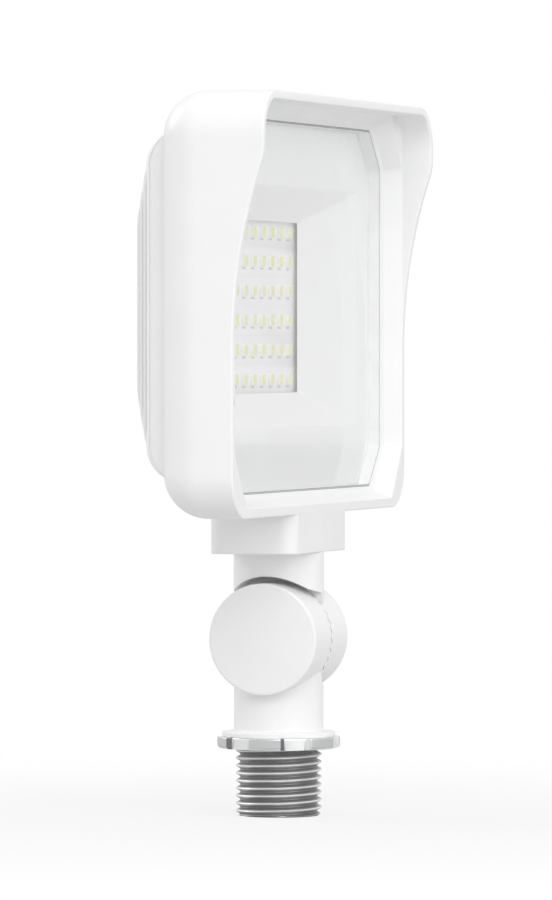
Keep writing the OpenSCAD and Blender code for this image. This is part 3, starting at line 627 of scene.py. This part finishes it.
def bore_skin():
    """The nipple's end face, its bore and its plain end inside the arm, a section turned round Z."""
    rim, end = THREAD_R - THREAD_CHAMFER, THREAD_LEN + END_LEN
    inner_rim = rim - END_RIM
    section = [
        (inner_rim, END_LAP), (rim, 0), (BORE_R, 0), (BORE_R, end), (END_R, end), (END_R, END_LAP),
        (inner_rim, END_LAP)
    ]
    a = full_turn(STEM_TURNS)
    return shell(soften(turned(section, a), [0.12, 0.4, 0.2, 0.5, 0.05])[:-1], closed=True)


NUT_T, NUT_RING_R, NUT_LUG_R, NUT_LUGS, NUT_LUG_ANGLE = 3.0, 13.7, 14.8, 6, 34.0
NUT_FLANK_ANGLE, NUT_TURN, NUT_CHAMFER, NUT_SLACK = 3.4, 3.6, 0.55, 0.08
FLANGE_R, FLANGE_T, FLANGE_SLOPE, FLANGE_DROP = 13.6, 1.15, 0.4, 0.25


def nut_skin():
    """The lock nut: its outer radius rises from the ring to the lug along a short slope on either side of
    each lug. The section is carried round and its edges are eased."""
    a = full_turn(360)
    pitch = 2 * math.pi / NUT_LUGS
    from_lug = np.abs((a - math.radians(NUT_TURN) + pitch / 2) % pitch - pitch / 2)
    past_flank = math.radians(NUT_LUG_ANGLE / 2) - from_lug
    rise = np.clip(past_flank / math.radians(NUT_FLANK_ANGLE) + 0.5, 0, 1)
    outer = NUT_RING_R + (NUT_LUG_R - NUT_RING_R) * rise
    low, high = THREAD_LEN - NUT_T, THREAD_LEN - FLANGE_DROP
    bore, middle, chamfer = THREAD_R + NUT_SLACK, (low + high) / 2, NUT_CHAMFER * rise
    section = [
        (bore, middle), (bore, low), (outer - chamfer, low), (outer, low + chamfer), (outer, high),
        (bore, high), (bore, middle)
    ]
    return shell(soften(turned(section, a), [0.35, 0.15, 0.2, 0.25, 0.35])[:-1], closed=True)


def mark_painted_flank_shade(nut):
    """Marks the flank at the anticlockwise end of each lug for painted shade with a point attribute, 1 on
    the flank and 0 elsewhere, by a point's angle from the flank's middle and its radius."""
    places = np.empty(3 * len(nut.data.vertices))
    nut.data.vertices.foreach_get("co", places)
    x, y, _ = places.reshape(-1, 3).T / MM
    pitch = 360 / NUT_LUGS
    angle = np.degrees(np.arctan2(y, x)) - NUT_TURN - NUT_LUG_ANGLE / 2
    from_flank = np.abs((angle + pitch / 2) % pitch - pitch / 2)
    on_flank = (from_flank < NUT_FLANK_ANGLE / 2 + 0.2) & (np.hypot(x, y) > NUT_RING_R - 0.3)
    painted_flank_shade = nut.data.attributes.new("painted_flank_shade", "FLOAT", "POINT")
    painted_flank_shade.data.foreach_set("value", on_flank.astype(float))


# KNUCKLE AND ARMS

SEAL_CHANNEL_R, SEAL_CHANNEL_X = 8.4, FACE_X + 0.9
WIRE_CHANNEL_R, WIRE_CHANNEL_X = 7.6, 6.0
BOSS_R, SCREW_HOLE_R, SCREW_HOLE_X = 4.4, 2.6, 3.0
SCREW_SEAT_R, SCREW_SEAT_X, SCREW_SEAT_MIDDLE = 4.65, 7.1, 2.7
TOOTH_COLUMNS = 10
SPIGOT_R, SPIGOT_LEN, SOCKET_LEN, COLUMN_SUNK = 8.8, 7.0, 5.3, 1.2


def disc_skin(side, sockets=()):
    """A knuckle disc. side is -1 for the left one. It is turned round the knuckle's axis, and the rim of
    its inner face carries the locking teeth: a groove's depth grows with the radius and falls off evenly
    on either side of the groove's middle line. Further in lie the seal's channel, the wires' channel and
    the boss round the screw's hole."""
    columns = TEETH * TOOTH_COLUMNS
    a = full_turn(columns)
    pitch = 2 * math.pi / TEETH
    shift = 0 if side < 0 else pitch / 2
    from_groove = np.abs((a - shift + pitch / 2) % pitch - pitch / 2) / (pitch / 2 * TOOTH_SHARE)
    groove = np.maximum(1 - from_groove, 0)
    tooth_in = DISC_R - TOOTH_RING

    def ring(radius, x):
        x = np.broadcast_to(x, columns)
        return np.stack([side * x, radius * np.cos(a), radius * np.sin(a) + KNUCKLE_Z], -1)

    outside = [ring(radius, x) for radius, x in sockets] or [ring(DISC_R * 0.5, DISC_HALF)]
    inside = [
        (tooth_in, SEAL_CHANNEL_X), (SEAL_CHANNEL_R, SEAL_CHANNEL_X), (SEAL_CHANNEL_R, FACE_X),
        (WIRE_CHANNEL_R, FACE_X), (WIRE_CHANNEL_R, WIRE_CHANNEL_X), (BOSS_R, WIRE_CHANNEL_X),
        (BOSS_R, FACE_X), (SCREW_HOLE_R, FACE_X), (SCREW_HOLE_R, SCREW_HOLE_X)
    ]
    corners = outside + [
        ring(DISC_R, DISC_HALF), ring(DISC_R, FACE_X + TOOTH_H * groove),
        ring(tooth_in, FACE_X + TOOTH_H * groove * tooth_in / DISC_R)
    ] + [ring(radius, x) for radius, x in inside]
    reach = [0.4] * (len(outside) - 1) + [0.62, 0.12, 0.05, 0.05, 0.1, 0.1, 0.1, 0.1, 0.3, 0.1, 0.1]
    return shell(soften(corners, reach))


def column_skin(radius, side, base, profile):
    """A round column between the knuckle and the height base of its outer end. An arch, whose radius grows
    a little towards its ends, is cut out of it to leave room for the other arm; side is +1 where the arch
    lies to the right. profile is a run of (radius, height) corners from the outer end's middle to the
    column's wall."""
    a = full_turn(192) + math.pi / 2
    x, y = radius * np.cos(a), radius * np.sin(a)
    way = np.sign(KNUCKLE_Z - base)
    cut_side = side * x > FACE_X * 1.5
    past = np.clip((np.abs(y) - ARCH_EASE_Y) / (radius - ARCH_EASE_Y), 0, 1)
    arch_r = ARCH_R + (CUT_R - ARCH_R) * past * past * (3 - 2 * past)
    arch = KNUCKLE_Z - way * np.sqrt(arch_r ** 2 - y ** 2)
    buried = KNUCKLE_Z - way * (np.sqrt(DISC_R ** 2 - y ** 2) - COLUMN_SUNK)
    edge = np.where(cut_side, arch, buried)
    wall_x = np.where(cut_side, side * FACE_X, x)
    corners = turned(profile, a) + [
        np.stack([x, y, edge], -1), np.stack([wall_x, y, edge], -1), np.stack([wall_x, y, buried], -1),
        np.stack([wall_x * 0.2, y * 0.2, np.full(len(a), KNUCKLE_Z)], -1)
    ]
    reach = [0.3] * (len(profile) - 1) + [0.35, 0.5, 0.05]
    return shell(soften(corners, reach))


def lower_arm_skin():
    """The near disc and the column under it: the nipple's socket, the flange, its slope and the wall."""
    foot = THREAD_LEN - FLANGE_DROP
    brim = foot + FLANGE_T
    profile = [
        (END_R, foot + SOCKET_LEN), (END_R + 0.05, foot), (FLANGE_R, foot), (FLANGE_R, brim),
        (FLANGE_R - 0.4, brim + 0.05), (ARM_R, brim + FLANGE_SLOPE)
    ]
    return joined([disc_skin(-1), column_skin(ARM_R, 1, foot, profile)])


def upper_arm_skin():
    """The far disc with the clamp screw's seat, and the neck above it with its spigot."""
    profile = [(SPIGOT_R, BLOCK_Z + SPIGOT_LEN), (SPIGOT_R, BLOCK_Z), (NECK_R, BLOCK_Z)]
    sockets = [
        (SCREW_SEAT_MIDDLE, SCREW_SEAT_X), (SCREW_SEAT_R, SCREW_SEAT_X), (SCREW_SEAT_R, DISC_HALF)
    ]
    return joined([disc_skin(1, sockets), column_skin(NECK_R, -1, BLOCK_Z, profile)])


# MATERIALS

def add_node(tree, kind, inputs=None, **settings):
    """A new node. inputs gives its sockets plain values or other nodes' outputs."""
    node = tree.nodes.new(kind)
    for key, value in settings.items():
        setattr(node, key, value)
    for socket, value in (inputs or {}).items():
        if isinstance(value, bpy.types.NodeSocket):
            tree.links.new(value, node.inputs[socket])
        else:
            node.inputs[socket].default_value = value
    return node


def calculated(tree, operation, *values):
    """The output of a new node for one step of arithmetic."""
    return add_node(tree, "ShaderNodeMath", dict(enumerate(values)), operation=operation).outputs[0]


class Finish:
    """A material. Its shader's sockets take plain values, and nodes are added and joined through it."""

    def __init__(self, name, color, roughness, metallic=0.0, **sockets):
        self.material = bpy.data.materials.new(name)
        self.material.use_nodes = True
        self.tree = self.material.node_tree
        self.shader = self.tree.nodes["Principled BSDF"]
        values = {"Base_Color": (*color, 1), "Roughness": roughness, "Metallic": metallic, **sockets}
        for socket, value in values.items():
            self.shader.inputs[socket.replace("_", " ")].default_value = value

    def add(self, kind, inputs=None, **settings):
        return add_node(self.tree, kind, inputs, **settings)

    def vector(self, operation, *values):
        """One step of vector arithmetic on nodes' outputs and triples."""
        return self.add("ShaderNodeVectorMath", dict(enumerate(values)), operation=operation).outputs

    def number(self, operation, *values):
        """One step of arithmetic on nodes' outputs and plain numbers."""
        return calculated(self.tree, operation, *values)

    def dressed(self, color, roughness, normal):
        """The material, whose shader takes its colour, roughness and normal from nodes' outputs."""
        for socket, output in (("Base Color", color), ("Roughness", roughness), ("Normal", normal)):
            self.tree.links.new(output, self.shader.inputs[socket])
        return self.material

    def surface(self, output):
        """The output takes the shader's place as what the material shows."""
        self.tree.links.new(output, self.tree.nodes["Material Output"].inputs["Surface"])

    def place(self, stretch=(1, 1, 1), centre=(0, 0, 0)):
        """Object coordinates in millimetres from centre, drawn out along the axes by stretch."""
        where = self.add("ShaderNodeTexCoord").outputs["Object"]
        scale = [1 / (MM * s) for s in stretch]
        shift = [-c / s for c, s in zip(centre, stretch)]
        inputs = {"Vector": where, "Location": shift, "Scale": scale}
        return self.add("ShaderNodeMapping", inputs).outputs["Vector"]

    def noise(self, size, detail=2.0, stretch=(1, 1, 1)):
        """Noise whose patches are about size millimetres across."""
        inputs = {"Vector": self.place(stretch), "Scale": 1 / size, "Detail": detail}
        return self.add("ShaderNodeTexNoise", inputs).outputs["Fac"]

    def between(self, factor, low, high, start=0.3, end=0.7):
        """A factor turned into a number between low and high."""
        node = self.add("ShaderNodeMapRange", {
            "Value": factor, "From Min": start, "From Max": end, "To Min": low, "To Max": high
        })
        return node.outputs["Result"]

    def blend(self, factor, first, second):
        """A colour between two colours, each a triple or another node's colour."""
        inputs = {0: factor}
        for socket, value in ((6, first), (7, second)):
            inputs[socket] = value if isinstance(value, bpy.types.NodeSocket) else (*value, 1)
        return self.add("ShaderNodeMix", inputs, data_type="RGBA").outputs[2]

    def relief(self, height, depth, strength=1.0, over=None):
        """Bump of the given depth in millimetres, laid over another bump if one is given."""
        inputs = {"Height": height, "Distance": depth * MM, "Strength": strength}
        if over is not None:
            inputs["Normal"] = over
        return self.add("ShaderNodeBump", inputs).outputs["Normal"]

    def from_axis(self):
        """Distance from the stem's axis in millimetres."""
        level = self.vector("MULTIPLY", self.place(), (1, 1, 0))[0]
        return self.vector("LENGTH", level)["Value"]


def mottled(name, color, roughness, spread, size, rough_spread, grain, grain_depth, metallic=0.0):
    """A plain material with patches in colour and roughness, size millimetres across, and a fine grain in
    the surface."""
    finish = Finish(name, color, roughness, metallic)
    dark = [c * (1 - spread) for c in color]
    light = [min(c * (1 + spread), 1) for c in color]
    low, high = max(roughness - rough_spread, 0.02), min(roughness + rough_spread, 1)
    return finish.dressed(
        finish.blend(finish.between(finish.noise(size, 3.0), 0, 1), dark, light),
        finish.between(finish.noise(size * 0.3, 4.0), low, high),
        finish.relief(finish.noise(grain), grain_depth)
    )


def powder_coat():
    """White powder coat: a faint orange peel with a finer grain over it, and faint patches of sheen."""
    finish = Finish("white_powder_coat", (0.89, 0.891, 0.893), 0.42, Specular_IOR_Level=0.45)
    patches = finish.between(finish.noise(14, 3.0), 0, 1)
    peel = finish.relief(finish.noise(1.6, 1.0), 0.05, 0.35)
    return finish.dressed(
        finish.blend(patches, (0.882, 0.883, 0.886), (0.9, 0.9, 0.901)),
        finish.between(finish.noise(5, 4.0), 0.28, 0.38),
        finish.relief(finish.noise(0.35, 1.0), 0.012, 0.3, peel)
    )


def clear_glass():
    """Flat clear glass: what is behind it shows through, and it mirrors by its angle. A faint film of
    dust dulls the mirror in patches."""
    finish = Finish("clear_glass", (1, 1, 1), 0.05)
    film = finish.noise(16, 4.0)
    mirror = finish.add("ShaderNodeBsdfGlossy", {
        "Color": (1, 1, 1, 1), "Roughness": finish.between(film, 0.01, 0.07)
    })
    clear = finish.add("ShaderNodeBsdfTransparent", {
        "Color": finish.blend(finish.between(film, 0, 1), (0.984, 0.987, 0.986), (0.992, 0.994, 0.993))
    })
    facing = finish.add("ShaderNodeLayerWeight", {"Blend": 0.5}).outputs["Facing"]
    share = finish.between(finish.number("POWER", facing, 5.0), 0.04, 1.0, 0.0, 1.0)
    both = finish.add("ShaderNodeMixShader", {0: share, 1: clear.outputs[0], 2: mirror.outputs[0]})
    finish.surface(both.outputs[0])
    return finish.material


def seal_silicone():
    """Silicone whose front bead is grey, as painted shade of the gap beside the glass, and pale behind it.
    """
    finish = Finish("grey_silicone", (0.6, 0.6, 0.6), 0.55)
    depth = finish.add("ShaderNodeSeparateXYZ", {0: finish.place()}).outputs["Y"]
    behind = finish.between(depth, 0, 1, GLASS_Y + 0.3, GLASS_Y + 1.0)
    patches = finish.between(finish.noise(5, 3.0), 0, 1)
    # The grey of the front bead is painted shade of the gap beside the glass.
    front = finish.blend(patches, (0.47, 0.47, 0.475), (0.54, 0.54, 0.545))
    return finish.dressed(
        finish.blend(behind, front, (0.93, 0.93, 0.93)),
        finish.between(finish.noise(1.5, 4.0), 0.47, 0.63), finish.relief(finish.noise(0.3), 0.02)
    )


def metal(name, color, roughness, stretch, scratch=0.5, depth=0.01):
    """Bare or plated metal with fine lines drawn out along one axis and darker patches."""
    finish = Finish(name, color, roughness, 1.0)
    lines = finish.noise(scratch, 3.0, stretch)
    dark = [c * 0.82 for c in color]
    return finish.dressed(
        finish.blend(finish.between(finish.noise(4, 3.0), 0, 1), dark, color),
        finish.between(lines, roughness - 0.08, roughness + 0.1), finish.relief(lines, depth, 0.5)
    )


def board_mask():
    """White solder mask: copper tracks under it raise the surface in a grid along the chips' pitch."""
    finish = Finish("white_solder_mask", (0.95, 0.95, 0.945), 0.38)
    where = finish.place((1, 1, 1), (CHIP_SHIFT_X + CHIP_STEP_X / 2, 0, GLASS_Z + CHIP_SHIFT_Z))
    cell = finish.vector("MULTIPLY", where, (1 / CHIP_STEP_X, 1, 1 / CHIP_STEP_Z))[0]
    shares = finish.add("ShaderNodeSeparateXYZ", {0: finish.vector("FRACTION", cell)[0]}).outputs
    gaps = [finish.number("ABSOLUTE", finish.number("SUBTRACT", shares[axis], 0.5)) for axis in ("X", "Z")]
    track = finish.between(finish.number("MAXIMUM", *gaps), 1, 0, 0.44, 0.47)
    grain = finish.relief(finish.noise(0.4), 0.01, 0.4)
    return finish.dressed(
        finish.blend(track, (0.935, 0.935, 0.93), (0.965, 0.965, 0.962)),
        finish.between(finish.noise(3, 3.0), 0.32, 0.46), finish.relief(track, 0.04, 0.6, grain)
    )


def cut_thread():
    """Dull zinc on the thread: darker in the roots as painted shade, grey on the flanks and near white on
    the crests as a painted highlight.
    """
    finish = Finish("dull_zinc_thread", (0.5, 0.5, 0.51), 0.3, 1.0)
    radius = finish.from_axis()
    flank = finish.between(radius, 0, 1, THREAD_R - THREAD_DEPTH, THREAD_R - 0.4)
    # Near white on the crests is a painted highlight, and the darker roots are painted shade.
    painted_crest_highlight = finish.between(radius, 0, 1, THREAD_R - 0.3, THREAD_R - 0.1)
    body = finish.blend(flank, (0.34, 0.34, 0.345), (0.56, 0.56, 0.565))
    lines = finish.noise(0.12, 2.0, (10, 10, 1))
    return finish.dressed(
        finish.blend(painted_crest_highlight, body, (0.98, 0.98, 0.98)), finish.between(lines, 0.34, 0.42),
        finish.relief(lines, 0.003, 0.3)
    )


def nut_plating():
    """Bright zinc: the faces between the lugs are polished, the lugs are duller, and the flank at the
    anticlockwise end of each lug is painted dark as painted shade."""
    finish = Finish("bright_zinc", (0.7, 0.705, 0.71), 0.26, 1.0)
    lug = finish.between(finish.from_axis(), 0, 1, NUT_LUG_R - 0.3, NUT_LUG_R - 0.05)
    sides = finish.blend(lug, (0.93, 0.935, 0.94), (0.7, 0.705, 0.71))
    # Painted shade on one flank of each lug.
    painted_flank_shade = finish.add("ShaderNodeAttribute", attribute_name="painted_flank_shade").outputs["Fac"]
    lines = finish.noise(0.25, 2.0, (6, 6, 1))
    return finish.dressed(
        finish.blend(painted_flank_shade, sides, (0.22, 0.22, 0.23)), finish.between(lines, 0.28, 0.36),
        finish.relief(lines, 0.002, 0.25)
    )


WHITE_PAINT = powder_coat()
GLASS = clear_glass()
GROUND_GLASS = mottled("ground_glass_edge", (0.89, 0.894, 0.892), 0.55, 0.03, 3, 0.08, 0.15, 0.02)
SEAL_RUBBER = seal_silicone()
REFLECTOR = mottled("matt_white_reflector", (0.978, 0.978, 0.978), 0.5, 0.012, 9, 0.08, 0.5, 0.012)
BOARD_WHITE = board_mask()
PHOSPHOR = mottled("yellow_phosphor", (0.86, 0.87, 0.32), 0.3, 0.06, 0.7, 0.08, 0.12, 0.02)
CHIP_CASE = mottled("chip_case_white", (0.95, 0.95, 0.935), 0.4, 0.02, 1, 0.06, 0.15, 0.01)
SOLDER = mottled("solder_tin", (0.88, 0.875, 0.88), 0.42, 0.08, 0.5, 0.08, 0.1, 0.02, metallic=1.0)
# Grey of the painted shadow under each chip.
CHIP_SHADOW_GREY = mottled("painted_chip_shadow_grey", (0.5, 0.5, 0.53), 0.5, 0.15, 0.5, 0.08, 0.1, 0.01)
HEAT_PAD = mottled("grey_heat_pad", (0.27, 0.29, 0.32), 0.75, 0.08, 2, 0.08, 0.25, 0.05)
SCREW_STEEL = metal("stainless_steel", (0.6, 0.6, 0.61), 0.28, (6, 1, 1), 0.2)
BOARD_GREEN = mottled("green_solder_mask", (0.015, 0.13, 0.05), 0.3, 0.25, 2.5, 0.08, 0.6, 0.04)
AMBER_FILM = mottled("amber_film", (0.52, 0.26, 0.03), 0.22, 0.1, 6, 0.08, 3.0, 0.05)
CAPACITOR_BLACK = mottled("black_sleeve", (0.012, 0.012, 0.014), 0.3, 0.3, 2, 0.1, 0.5, 0.03)
DISC_BLUE = mottled("dipped_blue_resin", (0.015, 0.05, 0.28), 0.25, 0.2, 2, 0.08, 1.2, 0.12)
CASE_BLACK = mottled("moulded_black_resin", (0.014, 0.014, 0.014), 0.6, 0.3, 1, 0.08, 0.12, 0.02)
NYLON_CREAM = mottled("cream_nylon", (0.7, 0.66, 0.54), 0.42, 0.05, 3, 0.06, 0.3, 0.02)
LEAD_RED = mottled("red_wire_sleeve", (0.36, 0.008, 0.008), 0.35, 0.12, 2, 0.08, 0.3, 0.02)
GROUND_GREEN = mottled(
    "green_passivated_steel", (0.03, 0.2, 0.06), 0.35, 0.2, 1.5, 0.1, 0.2, 0.02, metallic=0.7
)
BLACK_RUBBER = mottled("black_rubber", (0.014, 0.014, 0.015), 0.62, 0.3, 3, 0.1, 0.2, 0.03)
THREAD_ZINC = cut_thread()
BORE_ZINC = metal("dull_zinc_bore", (0.36, 0.36, 0.37), 0.4, (8, 8, 1), 0.3, 0.02)
NUT_STEEL = nut_plating()


EDGE_EASE, EDGE_ANGLE, FLAT_ANGLE = 0.12, math.radians(30), math.radians(0.5)


def cad_copy(node, material):
    """A merged copy of a node that stands for it, its sharp edges eased by a Bevel."""
    source = frame["nodes"][node]
    made = in_scene(node + "_finished", source.data.copy())
    merged = bmesh.new()
    merged.from_mesh(made.data)
    bmesh.ops.remove_doubles(merged, verts=merged.verts, dist=MERGE_DISTANCE)
    bmesh.ops.dissolve_limit(merged, angle_limit=FLAT_ANGLE, verts=merged.verts, edges=merged.edges)
    merged.to_mesh(made.data)
    merged.free()
    made.data.materials.clear()
    made.data.materials.append(material)
    made.data.shade_smooth()
    bevel = made.modifiers.new("eased_edges", "BEVEL")
    bevel.width = EDGE_EASE * MM
    bevel.segments = 2
    bevel.limit_method = "ANGLE"
    bevel.angle_limit = EDGE_ANGLE
    bevel.harden_normals = True
    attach(made, source["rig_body"])
    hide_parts(node)
    return made


# PIECES

def cast_housing():
    """The tub and the neck block made one casting by a union, which is applied."""
    housing = piece("housing_casting", tub_skin(), WHITE_PAINT, "head", ["housing"])
    block = piece("neck_block", block_skin(), WHITE_PAINT, "head")
    cut = housing.modifiers.new("one_casting", "BOOLEAN")
    cut.operation, cut.solver, cut.object = "UNION", "EXACT", block
    united = housing.evaluated_get(bpy.context.evaluated_depsgraph_get())
    mesh = bpy.data.meshes.new_from_object(united)
    housing.modifiers.clear()
    housing.data = mesh
    mesh.set_sharp_from_angle(angle=SHARP_ANGLE)
    bpy.data.objects.remove(block)


def build_light():
    """Every piece that the scene makes anew, with its material, body and the node it stands for. The chips'
    table also lists a slot, which nothing reads.
    """
    cast_housing()
    piece("fin_rows", fins_skin(), WHITE_PAINT, "head", ["cooling_fins"])
    grind_edge(piece("glass_pane", pane_skin(), GLASS, "head", ["glass_lens"]))
    piece("glass_seal", seal_skin(), SEAL_RUBBER, "head", ["lens_gasket"])
    piece("reflector_tray", reflector_skin(), REFLECTOR, "head", ["reflector"])
    for name, skin, material, slot, nodes in (
        ("chip_cases", chip_case_skin(), CHIP_CASE, "chip_yellow", ["light_chips"]),
        ("chip_phosphor", phosphor_skin(), PHOSPHOR, "chip_yellow", ["light_chips"]),
        ("chip_solder", solder_skin(), SOLDER, "chip_yellow", []),
        # The grey marks under the chips are painted shadows.
        ("painted_chip_shadows", chip_shadow_skin(), CHIP_SHADOW_GREY, "board_white", [])
    ):
        piece(name, repeated(skin, chip_places()), material, "head", nodes)
    piece("stem_thread", thread_skin(), THREAD_ZINC, "lower_arm", ["threaded_nipple"])
    piece("stem_bore", bore_skin(), BORE_ZINC, "lower_arm", ["threaded_nipple"])
    mark_painted_flank_shade(piece("lugged_nut", nut_skin(), NUT_STEEL, "lock_nut", ["lock_nut"]))
    piece("lower_arm_casting", lower_arm_skin(), WHITE_PAINT, "lower_arm", ["lower_arm"])
    piece("upper_arm_casting", upper_arm_skin(), WHITE_PAINT, "head", ["upper_arm"])


def finish_nodes():
    """Nodes that keep their own shape get their materials and eased edges."""
    kept = {
        "light_board": (BOARD_WHITE, "board_white"), "heat_pad": (HEAT_PAD, "pad_grey"),
        "board_screws": (SCREW_STEEL, "screw_steel"), "driver_board": (BOARD_GREEN, "board_green"),
        "insulating_sheet": (AMBER_FILM, "sheet_amber"), "capacitors": (CAPACITOR_BLACK, "capacitor_black"),
        "surge_disc": (DISC_BLUE, "disc_blue"), "rectifier": (CASE_BLACK, "case_black"),
        "driver_chips": (CASE_BLACK, "case_black"), "wire_terminal": (NYLON_CREAM, "terminal_cream"),
        "driver_screws": (SCREW_STEEL, "screw_steel"), "board_leads": (LEAD_RED, "lead_red"),
        "ground_screw": (GROUND_GREEN, "ground_green"), "wire_grommet": (BLACK_RUBBER, "black_rubber"),
        "neck_seal": (BLACK_RUBBER, "black_rubber"), "arm_screws": (SCREW_STEEL, "screw_steel"),
        "knuckle_seal": (BLACK_RUBBER, "black_rubber"), "clamp_screw": (SCREW_STEEL, "screw_steel"),
        "clamp_washer": (SCREW_STEEL, "screw_steel")
    }
    for node, (material, slot) in kept.items():
        cad_copy(node, material)


# STUDIO

LAMP_SIZE, LAMP_DISTANCE = 0.9, 1.75
LAMP_AIM = Vector((0, 0, 0.1))
FLOOR_REACH, FLOOR_TONE = 6.0, 0.65
SHADOW_NEAR, SHADOW_FAR, SHADOW_WHITE = 0.03, 0.25, 0.8
MIRROR_WHITE = 0.1
SKY = 0.79


def soft_box(name, azimuth, elevation, watts):
    """A square lamp that looks at the light's middle. Its azimuth counts from the front, to the right."""
    a, e = math.radians(azimuth), math.radians(elevation)
    lamp = bpy.data.lights.new(name, "AREA")
    lamp.shape, lamp.size, lamp.energy = "SQUARE", LAMP_SIZE, watts
    away = Vector((math.sin(a) * math.cos(e), -math.cos(a) * math.cos(e), math.sin(e)))
    made = in_scene(name, lamp)
    made.location = LAMP_AIM + away * LAMP_DISTANCE
    made.rotation_euler = away.to_track_quat("Z", "Y").to_euler()


def camera_white(tree, shader, share=1.0):
    """What the camera or clear glass sees is white, by the given share or another node's number, a mirror
    sees MIRROR_WHITE of that, and what lights the object is the shader."""
    path = add_node(tree, "ShaderNodeLightPath").outputs
    mirrored = calculated(tree, "MULTIPLY", path["Is Glossy Ray"], MIRROR_WHITE)
    seen = calculated(tree, "MAXIMUM", path["Is Camera Ray"], mirrored)
    seen = calculated(tree, "MAXIMUM", seen, path["Is Transmission Ray"])
    plain = add_node(tree, "ShaderNodeEmission").outputs[0]
    part = calculated(tree, "MULTIPLY", seen, share)
    return add_node(tree, "ShaderNodeMixShader", {0: part, 1: shader, 2: plain}).outputs[0]


def build_floor():
    """A wide floor. Near the object the camera sees a little of its shade, so the shadow shows, and
    further out it is white."""
    mesh = bpy.data.meshes.new("floor")
    corners = [(-1, -1, 0), (1, -1, 0), (1, 1, 0), (-1, 1, 0)]
    mesh.from_pydata([[FLOOR_REACH * c for c in corner] for corner in corners], [], [(0, 1, 2, 3)])
    floor = in_scene("floor", mesh)
    pale = Finish("floor_white", (FLOOR_TONE,) * 3, 0.8, Specular_IOR_Level=0.0)
    away = pale.vector("LENGTH", pale.add("ShaderNodeTexCoord").outputs["Object"])["Value"]
    inputs = {"Value": away, "From Min": SHADOW_NEAR, "From Max": SHADOW_FAR, "To Min": SHADOW_WHITE}
    fade = pale.add("ShaderNodeMapRange", inputs, interpolation_type="SMOOTHSTEP").outputs["Result"]
    pale.surface(camera_white(pale.tree, pale.shader.outputs[0], fade))
    mesh.materials.append(pale.material)


def build_studio():
    """The floor, an even white sky and three lamps."""
    build_floor()
    world = bpy.data.worlds.new("studio")
    bpy.context.scene.world = world
    world.use_nodes = True
    back = world.node_tree.nodes["Background"]
    back.inputs["Color"].default_value = (1, 1, 1, 1)
    back.inputs["Strength"].default_value = SKY
    seen = camera_white(world.node_tree, back.outputs[0])
    world.node_tree.links.new(seen, world.node_tree.nodes["World Output"].inputs["Surface"])

    soft_box("front_lamp", -30, 20, 6.6)
    soft_box("left_lamp", -70, 36, 7.1)
    soft_box("rear_lamp", 170, 28, 5.8)
    bpy.context.scene.view_settings.view_transform = "Standard"


CAMERA_TURN, CAMERA_AWAY, CAMERA_UP = math.radians(-73.2), 1.673, 0.1133
AIM_RIGHT, AIM_UP = -0.00065, 0.088


def build_camera():
    """A long lens a little above the middle, turned by CAMERA_TURN from the front."""
    camera = bpy.data.cameras.new("camera")
    camera.lens, camera.sensor_width, camera.clip_start = 277.9, 36.0, 0.05
    back = Vector((math.sin(CAMERA_TURN), -math.cos(CAMERA_TURN), 0))
    right = Vector((math.cos(CAMERA_TURN), math.sin(CAMERA_TURN), 0))
    place = back * CAMERA_AWAY + Vector((0, 0, CAMERA_UP))
    aim = right * AIM_RIGHT + Vector((0, 0, AIM_UP))
    made = in_scene("camera", camera)
    made.location = place
    made.rotation_euler = (aim - place).to_track_quat("-Z", "Y").to_euler()
    bpy.context.scene.camera = made


build_light()
finish_nodes()
build_studio()
build_camera()
